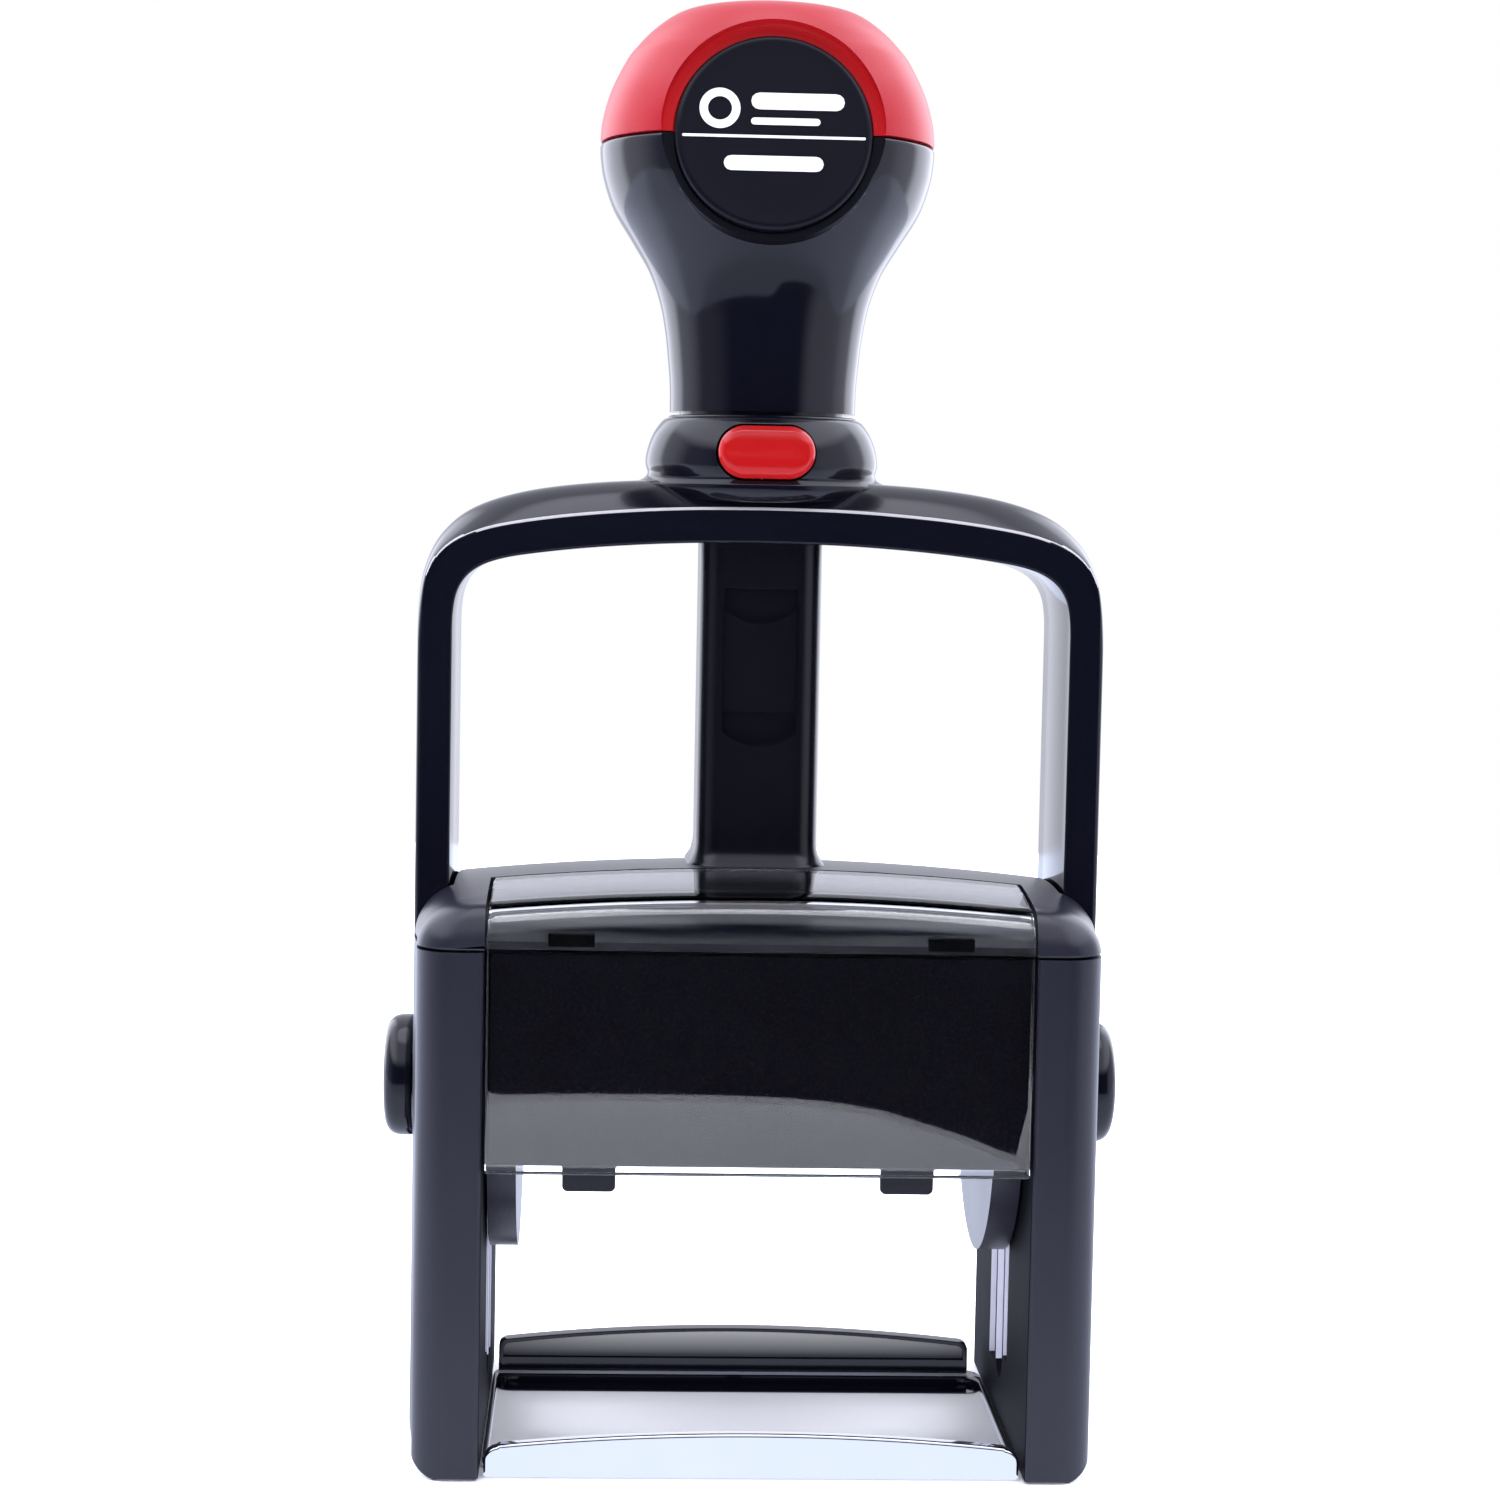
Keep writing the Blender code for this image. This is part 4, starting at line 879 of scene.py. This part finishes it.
def bar_ring_xz(w, z0, ze, zc, r, n=40):
    """Outline of a bar with an arched top: half width, foot, end height, centre height."""
    top = [(x, ze + (zc - ze) * (1 - (x / w) ** 2)) for x in
           [(w - r) - 2 * (w - r) * i / n for i in range(n + 1)]]
    ze2 = top[0][1]
    ring = [(-w, z0), (w, z0), (w, ze2 - r)] + arc(w - r, ze2 - r, r, 8, 82, 8) + top \
        + arc(-w + r, ze2 - r, r, 98, 172, 8) + [(-w, ze2 - r)]
    return [(x + BAR_SHIFT, z) for x, z in ring]


rear = prism("rear_bar_body", bar_ring_xz(29.5, 0.95, 4.85, 6.52, 1.0), 17.0, 19.0, 'XZ')
combine(rear, prism("rear_tool", bar_ring_xz(28.9, 2.75, 4.35, 6.05, 0.8), 16.0, 17.35, 'XZ'))
bevel(rear, 0.14, 2, 40)
done(rear, [BLACK, BAR_PAINTED_REFLECTION], "root", "rear_bar", 40)
# the recessed front face takes the painted reflection gradient
for poly in rear.data.polygons:
    c = poly.center / MM
    if poly.normal.y < -0.9 and 17.2 < c.y < 17.5:
        poly.material_index = 1

outer_ring = rounded(-30.6, 30.6, -22.3, 19.2, 3.0, 12)
inner_ring = rounded(-30.0, 30.0, -17.5, 15.2, 2.6, 12)


def grown(ring, d):
    """The inner ring moved outwards by d."""
    return rounded(-30.0 - d, 30.0 + d, -17.5 - d, 15.2 + d, 2.6 + d, 12)


base = loft("base_ring", [place(outer_ring, 'XY', 0.15), place(outer_ring, 'XY', 0.72),
                          place(rounded(-30.5, 30.5, -22.2, 19.1, 2.9, 12), 'XY', 0.88),
                          place(grown(inner_ring, 0.16), 'XY', 0.90),
                          place(grown(inner_ring, 0.05), 'XY', 0.86),
                          place(inner_ring, 'XY', 0.74),
                          place(inner_ring, 'XY', 0.15),
                          place(outer_ring, 'XY', 0.15)], caps=False)
combine(base, block("key_tool", (-1.4, 0.4), (14.0, 15.9), (0.45, 4)))
# painted shade: a thin black sheet on the ground at the rear of the opening stands for the shadow band there
combine(base, prism("flange_tool", rounded(-30.3, 30.3, 11.0, 16.0, 2.2, 8), 0.03, 0.16, 'XY'), 'UNION')
bm = bmesh.new()
bm.from_mesh(base.data)
for y in (15.85, 17.3):
    bmesh.ops.bisect_plane(bm, geom=bm.verts[:] + bm.edges[:] + bm.faces[:], plane_co=(0, y * MM, 0),
                           plane_no=(0, 1, 0), dist=1e-8)
bm.to_mesh(base.data)
bm.free()
done(base, [BLACK, PAINTED_LIGHT_PALE], "root", "base_frame", 36)
for poly in base.data.polygons:                # painted highlight: a narrow pale ledge in front of the rear bar
    c = poly.center / MM
    if poly.normal.z > 0.9 and 15.85 < c.y < 17.3 and c.z > 0.8:
        poly.material_index = 1

# ------------------------------------------------------------------ rear panel and cartridge
panel = prism("rear_panel_body", rounded(-COVER_W, COVER_W, 33.5, 49.5, 1.2, 6), 24.0, 25.6, 'XZ')
combine(panel, prism("panel_tool", rounded(-27.5, 27.5, 36.0, 47.2, 1.5, 6), 25.1, 27, 'XZ'))
bevel(panel, 0.18, 2)
done(panel, CHARCOAL, "root", "rear_panel", 36)

tray = block("tray_body", (-29.9, 29.9), (-21.0, 23.7), (50.5, 59.5))
combine(tray, prism("flange_tool", rounded(-30.3, 30.3, 50.0, 59.6, 1.0, 6), 23.2, 25.9, 'XZ'), 'UNION')
combine(tray, prism("pull_tool", rounded(-13, 13, 52.3, 57.3, 1.6, 6), 24.9, 30, 'XZ'))
combine(tray, block("pocket_tool", (-28.3, 28.3), (-14.8, 14.8), (45, 57.2)))
combine(tray, block("top_tool", (-27.5, 27.5), (-18.5, 21.0), (58.3, 65)))
for k in range(5):
    x = -9.6 + 4.8 * k
    combine(tray, block("ridge_tool", (x - 0.55, x + 0.55), (24.4, 25.5), (53.1, 56.5)), 'UNION')
bevel(tray, 0.2, 2)
done(tray, CHARCOAL, "cartridge", "cartridge_tray", 36)
pad = block("pad_body", (-28.0, 28.0), (-14.5, 14.5), (AXLE_Z + DIE_H + 0.4, 56.9), 0.5, 3)
done(pad, FELT, "cartridge", "ink_pad", 40)

# ------------------------------------------------------------------ die carrier and text plate
lobe = [(15.0, 4.0), (14.4, 4.6), (-14.4, 4.6), (-15.0, 4.0), (-15.6, 0.0)] \
    + arc(0, 0, 20.0, 200, 340, 48) + [(15.6, 0.0)]
lobe = [(y, z + AXLE_Z) for y, z in lobe]
carrier = prism("carrier_body", rounded(-14.4, 14.4, AXLE_Z + 1.6, AXLE_Z + 4.6, 0.6, 4), -28.4, 28.4, 'YZ')
for s in (-1, 1):
    lo, hi = (27.2, 30.5) if s > 0 else (-30.5, -27.2)
    combine(carrier, prism("flange_tool", lobe, lo, hi, 'YZ'), 'UNION')
for y in (-9.5, 9.5):
    combine(carrier, block("rib_tool", (-28.4, 28.4), (y - 0.8, y + 0.8),
                           (AXLE_Z - 3.0, AXLE_Z + 2.0)), 'UNION')
combine(carrier, rod("carrier_eye_tool", (-40, 0, AXLE_Z), (40, 0, AXLE_Z), AXLE_R + 0.3, 48))
bevel(carrier, 0.18, 2, 44)
done(carrier, CHARCOAL, "die", "die_carrier", 36)
foam = block("foam_body", (-28.2, 28.2), (-14.3, 14.3), (AXLE_Z + 4.9, AXLE_Z + 5.9), 0.2, 2)
done(foam, FOAM, "die", "die_foam", 36)
rubber = block("rubber_body", (-28.2, 28.2), (-14.4, 14.4), (AXLE_Z + 6.2, AXLE_Z + 7.0))
relief = prism("relief_tool", rounded(-26.2, 26.2, -12.0, 12.0, 1.6, 8), AXLE_Z + 6.6, AXLE_Z + DIE_H, 'XY')
combine(relief, prism("field_tool", rounded(-24.8, 24.8, -10.6, 10.6, 1.0, 8), AXLE_Z + 7.2,
                      AXLE_Z + DIE_H + 2, 'XY'))
combine(rubber, relief, 'UNION')
for w, y in ((18.0, 6.6), (22.0, 2.4), (22.0, -1.8), (14.0, -6.0)):
    combine(rubber, prism("line_tool", rounded(-w, w, y - 0.9, y + 0.9, 0.5, 5), AXLE_Z + 6.6,
                          AXLE_Z + DIE_H, 'XY'), 'UNION')
bevel(rubber, 0.12, 2)
done(rubber, RUBBER, "die", "text_plate", 36)

# ------------------------------------------------------------------ spring, seat, screws
curve = bpy.data.curves.new("spring_wire", 'CURVE')
curve.dimensions = '3D'
curve.bevel_depth = 0.45 * MM
curve.bevel_resolution = 4
curve.use_fill_caps = True
wire = curve.splines.new('POLY')
turns, per = 12.0, 36
count = int(turns * per) + 1
wire.points.add(count - 1)
lo, hi = 70.3, 144.9
for i in range(count):
    t = i / (count - 1)
    dead = 1.2 / turns
    if t < dead:
        z = t / dead * 1.1
    elif t > 1 - dead:
        z = (hi - lo - 0.9) - (1 - t) / dead * 1.1
    else:
        z = 1.1 + (t - dead) / (1 - 2 * dead) * (hi - lo - 0.9 - 2.2)
    a = 2 * math.pi * turns * t
    wire.points[i].co = (3.2 * math.cos(a) * MM, 3.2 * math.sin(a) * MM, (lo + 0.45 + z) * MM, 1.0)
tmp = link(bpy.data.objects.new("spring_tmp", curve))
bpy.context.view_layer.update()
me = bpy.data.meshes.new_from_object(tmp.evaluated_get(bpy.context.evaluated_depsgraph_get()))
bpy.data.objects.remove(tmp, do_unlink=True)
coil = link(bpy.data.objects.new("spring_coil", me))
done(coil, STEEL, "root", "return_spring", 60)
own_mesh(coil)

seat = turned("seat_body", [(0.0, 146.7), (8.3, 146.7), (8.5, 146.5), (8.5, 145.4), (8.3, 145.2),
                            (2.4, 145.2), (2.4, 142.4), (1.9, 142.0), (0.7, 142.0), (0.7, 144.0),
                            (0.0, 144.0)], 96)
done(seat, STEEL, "yoke", "spring_seat", 40)


def cross_cut(obj, x, y, lo, hi, size=1.3, wide=0.42):
    combine(obj, block("cross_tool", (x - size, x + size), (y - wide / 2, y + wide / 2), (lo, hi)))
    combine(obj, block("cross_tool", (x - wide / 2, x + wide / 2), (y - size, y + size), (lo, hi)))


for tag, sx, y in (("front_left", -1, -18.4), ("front_right", 1, -18.4),
                   ("rear_left", -1, 18.4), ("rear_right", 1, 18.4)):
    x = sx * 34.2
    screw = turned("foot_screw_" + tag, [(0.0, 11.6), (1.05, 11.6), (1.05, 3.0), (2.1, 3.0), (2.1, 1.7),
                                         (1.85, 1.38), (1.3, 1.22), (0.6, 1.2), (0.0, 1.2)], 48,
                   Matrix.Translation((x * MM, y * MM, 0)))
    cross_cut(screw, x, y, 0.5, 1.9)
    done(screw, STEEL, "root", "post_screw_" + tag, 36)
screw = turned("column_screw_body", [(0.0, 68.5), (1.6, 68.5), (1.6, 62.4), (5.4, 62.4), (5.4, 61.6),
                                     (4.9, 61.0), (3.6, 60.6), (1.8, 60.5), (0.0, 60.5)], 64)
cross_cut(screw, 0, 0, 59.5, 61.4, 2.2, 0.7)
done(screw, STEEL, "root", "column_screw", 36)
screw = turned("knob_screw_body", [(0.0, 151.0), (2.4, 151.0), (3.6, 150.75), (4.1, 150.2), (4.1, 149.3),
                                   (2.0, 149.3), (2.0, 147.0), (0.0, 147.0)], 64)
cross_cut(screw, 0, 0, 150.3, 152, 1.8, 0.6)
done(screw, STEEL, "yoke", "handle_screw", 36)

# ------------------------------------------------------------------ stage, lights, camera
def stage_material(name, rgb, rough, glow=0.0):
    mat, nt, b = new_mat(name)
    b.inputs["Base Color"].default_value = (*rgb, 1.0)
    b.inputs["Roughness"].default_value = rough
    b.inputs["Specular IOR Level"].default_value = 0.25
    if glow:
        b.inputs["Emission Color"].default_value = (1, 1, 1, 1)
        b.inputs["Emission Strength"].default_value = glow
    return mat


def stage_plane(name, x, y, z, mat, camera=True, glossy=True):
    obj = mesh_obj(name, [(x[0], y[0], z), (x[1], y[0], z), (x[1], y[1], z), (x[0], y[1], z)],
                   [(0, 1, 2, 3)])
    obj.data.materials.append(mat)
    obj.visible_camera = camera
    obj.visible_glossy = glossy
    return obj


def glow_mat(name, rgb, strength):
    mat = bpy.data.materials.new(name)
    mat.use_nodes = True
    nt = mat.node_tree
    nt.nodes.clear()
    em = nt.nodes.new("ShaderNodeEmission")
    em.inputs["Color"].default_value = (*rgb, 1.0)
    em.inputs["Strength"].default_value = strength
    outn = nt.nodes.new("ShaderNodeOutputMaterial")
    nt.links.new(em.outputs["Emission"], outn.inputs["Surface"])
    return mat


# white paper: lit by the lamps near the stamp, glowing softly towards its rim
paper = stage_material("stage_white", (0.92, 0.92, 0.94), 0.55)
nt = paper.node_tree
L = nt.links
tc = nt.nodes.new("ShaderNodeTexCoord")
ln = nt.nodes.new("ShaderNodeVectorMath")
ln.operation = 'LENGTH'
L.new(tc.outputs["Object"], ln.inputs[0])
fade = nt.nodes.new("ShaderNodeMapRange")
fade.interpolation_type = 'SMOOTHSTEP'
fade.inputs["From Min"].default_value = 0.10
fade.inputs["From Max"].default_value = 0.30
fade.inputs["To Min"].default_value = 0.0
fade.inputs["To Max"].default_value = 1.0
L.new(ln.outputs["Value"], fade.inputs["Value"])
L.new(fade.outputs["Result"], nt.nodes["Principled BSDF"].inputs["Emission Strength"])
nt.nodes["Principled BSDF"].inputs["Emission Color"].default_value = (1, 1, 1, 1)
def table_outline(z):
    """Round table edge behind and beside, nearly straight edge in front of the stamp."""
    front = spline([(-640, 0), (-420, -130), (-200, -215), (-60, -252), (0, -258), (28, -250),
                    (44, -226), (62, -196), (120, -170), (300, -120), (640, 0)], 10)
    pts = [(x, y, z) for x, y in front] + [(640 * u, 640 * v, z) for u, v in arc(0, 0, 1.0, 2.5, 177.5, 70)]
    return [(0, 0, z)] + pts, [(0, i + 1, (i + 1) % len(pts) + 1) for i in range(len(pts))]


floor = mesh_obj("studio_floor", *table_outline(0.0))
floor.data.materials.append(paper)
floor.visible_glossy = False
table = mesh_obj("table_seen_in_gloss", *table_outline(-1.0))
glow = glow_mat("table_glow", (0.74, 0.80, 1.0), 0.80)
gnt = glow.node_tree
gtc = gnt.nodes.new("ShaderNodeTexCoord")
gsep = gnt.nodes.new("ShaderNodeSeparateXYZ")
gnt.links.new(gtc.outputs["Object"], gsep.inputs["Vector"])
gmap = gnt.nodes.new("ShaderNodeMapRange")
gmap.interpolation_type = 'SMOOTHSTEP'
gmap.inputs["From Min"].default_value = -0.03
gmap.inputs["From Max"].default_value = 0.12
gmap.inputs["To Min"].default_value = 0.80
gmap.inputs["To Max"].default_value = 1.9
gnt.links.new(gsep.outputs["Y"], gmap.inputs["Value"])
gnear = gnt.nodes.new("ShaderNodeMapRange")
gnear.interpolation_type = 'SMOOTHSTEP'
gnear.inputs["From Min"].default_value = -0.13
gnear.inputs["From Max"].default_value = -0.05
gnear.inputs["To Min"].default_value = 0.80
gnear.inputs["To Max"].default_value = 1.25
gnt.links.new(gsep.outputs["Y"], gnear.inputs["Value"])
gmax = gnt.nodes.new("ShaderNodeMath")
gmax.operation = 'MAXIMUM'
gnt.links.new(gmap.outputs["Result"], gmax.inputs[0])
gnt.links.new(gnear.outputs["Result"], gmax.inputs[1])
gnt.links.new(gmax.outputs["Value"], gnt.nodes["Emission"].inputs["Strength"])
table.data.materials.append(glow)
table.visible_camera = False
table.visible_diffuse = False
table.visible_transmission = False

world = bpy.data.worlds.new("studio")
scene.world = world
world.use_nodes = True
nt = world.node_tree
nt.nodes.clear()
L = nt.links
outw = nt.nodes.new("ShaderNodeOutputWorld")
tc = nt.nodes.new("ShaderNodeTexCoord")
sep = nt.nodes.new("ShaderNodeSeparateXYZ")
L.new(tc.outputs["Generated"], sep.inputs["Vector"])


def ramp(socket, a, b, lo, hi):
    node = nt.nodes.new("ShaderNodeMapRange")
    node.interpolation_type = 'SMOOTHSTEP'
    node.inputs["From Min"].default_value = a
    node.inputs["From Max"].default_value = b
    node.inputs["To Min"].default_value = lo
    node.inputs["To Max"].default_value = hi
    L.new(socket, node.inputs["Value"])
    return node.outputs["Result"]


def times(a, b, op='MULTIPLY'):
    node = nt.nodes.new("ShaderNodeMath")
    node.operation = op
    L.new(a, node.inputs[0])
    L.new(b, node.inputs[1])
    return node.outputs["Value"]


absx = nt.nodes.new("ShaderNodeMath")
absx.operation = 'ABSOLUTE'
L.new(sep.outputs["X"], absx.inputs[0])
behind = ramp(sep.outputs["Y"], -0.35, 0.25, 0.0, 1.15)    # white paper behind
boxes = times(ramp(sep.outputs["Y"], 0.35, 0.60, 0.0, 1.0),
              ramp(absx.outputs["Value"], 0.20, 0.42, 0.0, 3.0))   # bright panels behind, both sides
right_side = ramp(sep.outputs["X"], 0.62, 0.86, 0.0, 0.80)
left_side = ramp(sep.outputs["X"], -0.62, -0.92, 0.0, 0.28)
overhead = times(ramp(sep.outputs["Z"], 0.34, 0.62, 0.0, 1.0),
                 ramp(absx.outputs["Value"], 0.22, 0.60, 1.2, 2.4))   # two soft boxes above
zenith = ramp(sep.outputs["Z"], 0.90, 0.965, 0.0, 3.0)
sides = times(right_side, left_side, 'MAXIMUM')
strength = times(behind, sides, 'MAXIMUM')
for part in (boxes, overhead, zenith):
    strength = times(strength, part, 'MAXIMUM')
light_bg = nt.nodes.new("ShaderNodeBackground")
light_bg.inputs["Color"].default_value = (0.86, 0.88, 1.0, 1.0)
L.new(strength, light_bg.inputs["Strength"])
seen_bg = nt.nodes.new("ShaderNodeBackground")
seen_bg.inputs["Color"].default_value = (1, 1, 1, 1)
seen_bg.inputs["Strength"].default_value = 1.0
path = nt.nodes.new("ShaderNodeLightPath")
mixw = nt.nodes.new("ShaderNodeMixShader")
L.new(path.outputs["Is Camera Ray"], mixw.inputs["Fac"])
L.new(light_bg.outputs["Background"], mixw.inputs[1])
L.new(seen_bg.outputs["Background"], mixw.inputs[2])
L.new(mixw.outputs["Shader"], outw.inputs["Surface"])


def area(name, at, target, size, energy, color=(1, 1, 1)):
    data = bpy.data.lights.new(name, 'AREA')
    data.shape = 'RECTANGLE'
    data.size, data.size_y = size[0] * MM, size[1] * MM
    data.energy = energy
    data.color = color
    obj = link(bpy.data.objects.new(name, data))
    obj.location = Vector(at) * MM
    obj.rotation_euler = (Vector(target) - Vector(at)).to_track_quat('-Z', 'Y').to_euler()
    return obj


LAV = (0.88, 0.90, 1.0)
key = area("key_top", (0, 40, 700), (0, 0, 60), (700, 500), 6.0, (1.0, 0.99, 1.0))
key.visible_glossy = False
for tag, sx in (("left", -1), ("right", 1)):
    lamp = area("rim_" + tag, (sx * 420, 120, 200), (0, 0, 90), (220, 560), 4.0, LAV)
    lamp.visible_glossy = False

fill = area("front_fill", (60, -520, 330), (0, 0, 90), (420, 300), 0.9, (0.95, 0.95, 1.0))
fill.visible_glossy = False
fill.visible_transmission = False
low = area("front_low", (-40, -430, 95), (0, -20, 5), (260, 60), 1.25, (0.93, 0.93, 1.0))
low.visible_glossy = False
low.visible_transmission = False

CAM = dict(x=-17.39, d=374.40, z=110.06, yaw=0.04460, pitch=0.07785, roll=0.019159, f=3169.2)
cd = bpy.data.cameras.new("camera")
cd.sensor_width = 36.0
cd.sensor_fit = 'HORIZONTAL'
cd.lens = CAM["f"] / 1500.0 * 36.0
cd.clip_start = 0.02
cd.clip_end = 50.0
cam = link(bpy.data.objects.new("camera", cd))
cyw, syw = math.cos(CAM["yaw"]), math.sin(CAM["yaw"])
cp, sp = math.cos(CAM["pitch"]), math.sin(CAM["pitch"])
fwd = Vector((syw * cp, cyw * cp, -sp))
right = Vector((cyw, -syw, 0.0))
up = right.cross(fwd)
c_r, s_r = math.cos(CAM["roll"]), math.sin(CAM["roll"])
r2 = right * c_r + up * s_r
u2 = up * c_r - right * s_r
cam.matrix_world = Matrix(((r2.x, u2.x, -fwd.x, CAM["x"] * MM), (r2.y, u2.y, -fwd.y, -CAM["d"] * MM),
                           (r2.z, u2.z, -fwd.z, CAM["z"] * MM), (0, 0, 0, 1)))
scene.camera = cam
scene.view_settings.view_transform = 'Standard'
scene.view_settings.look = 'None'
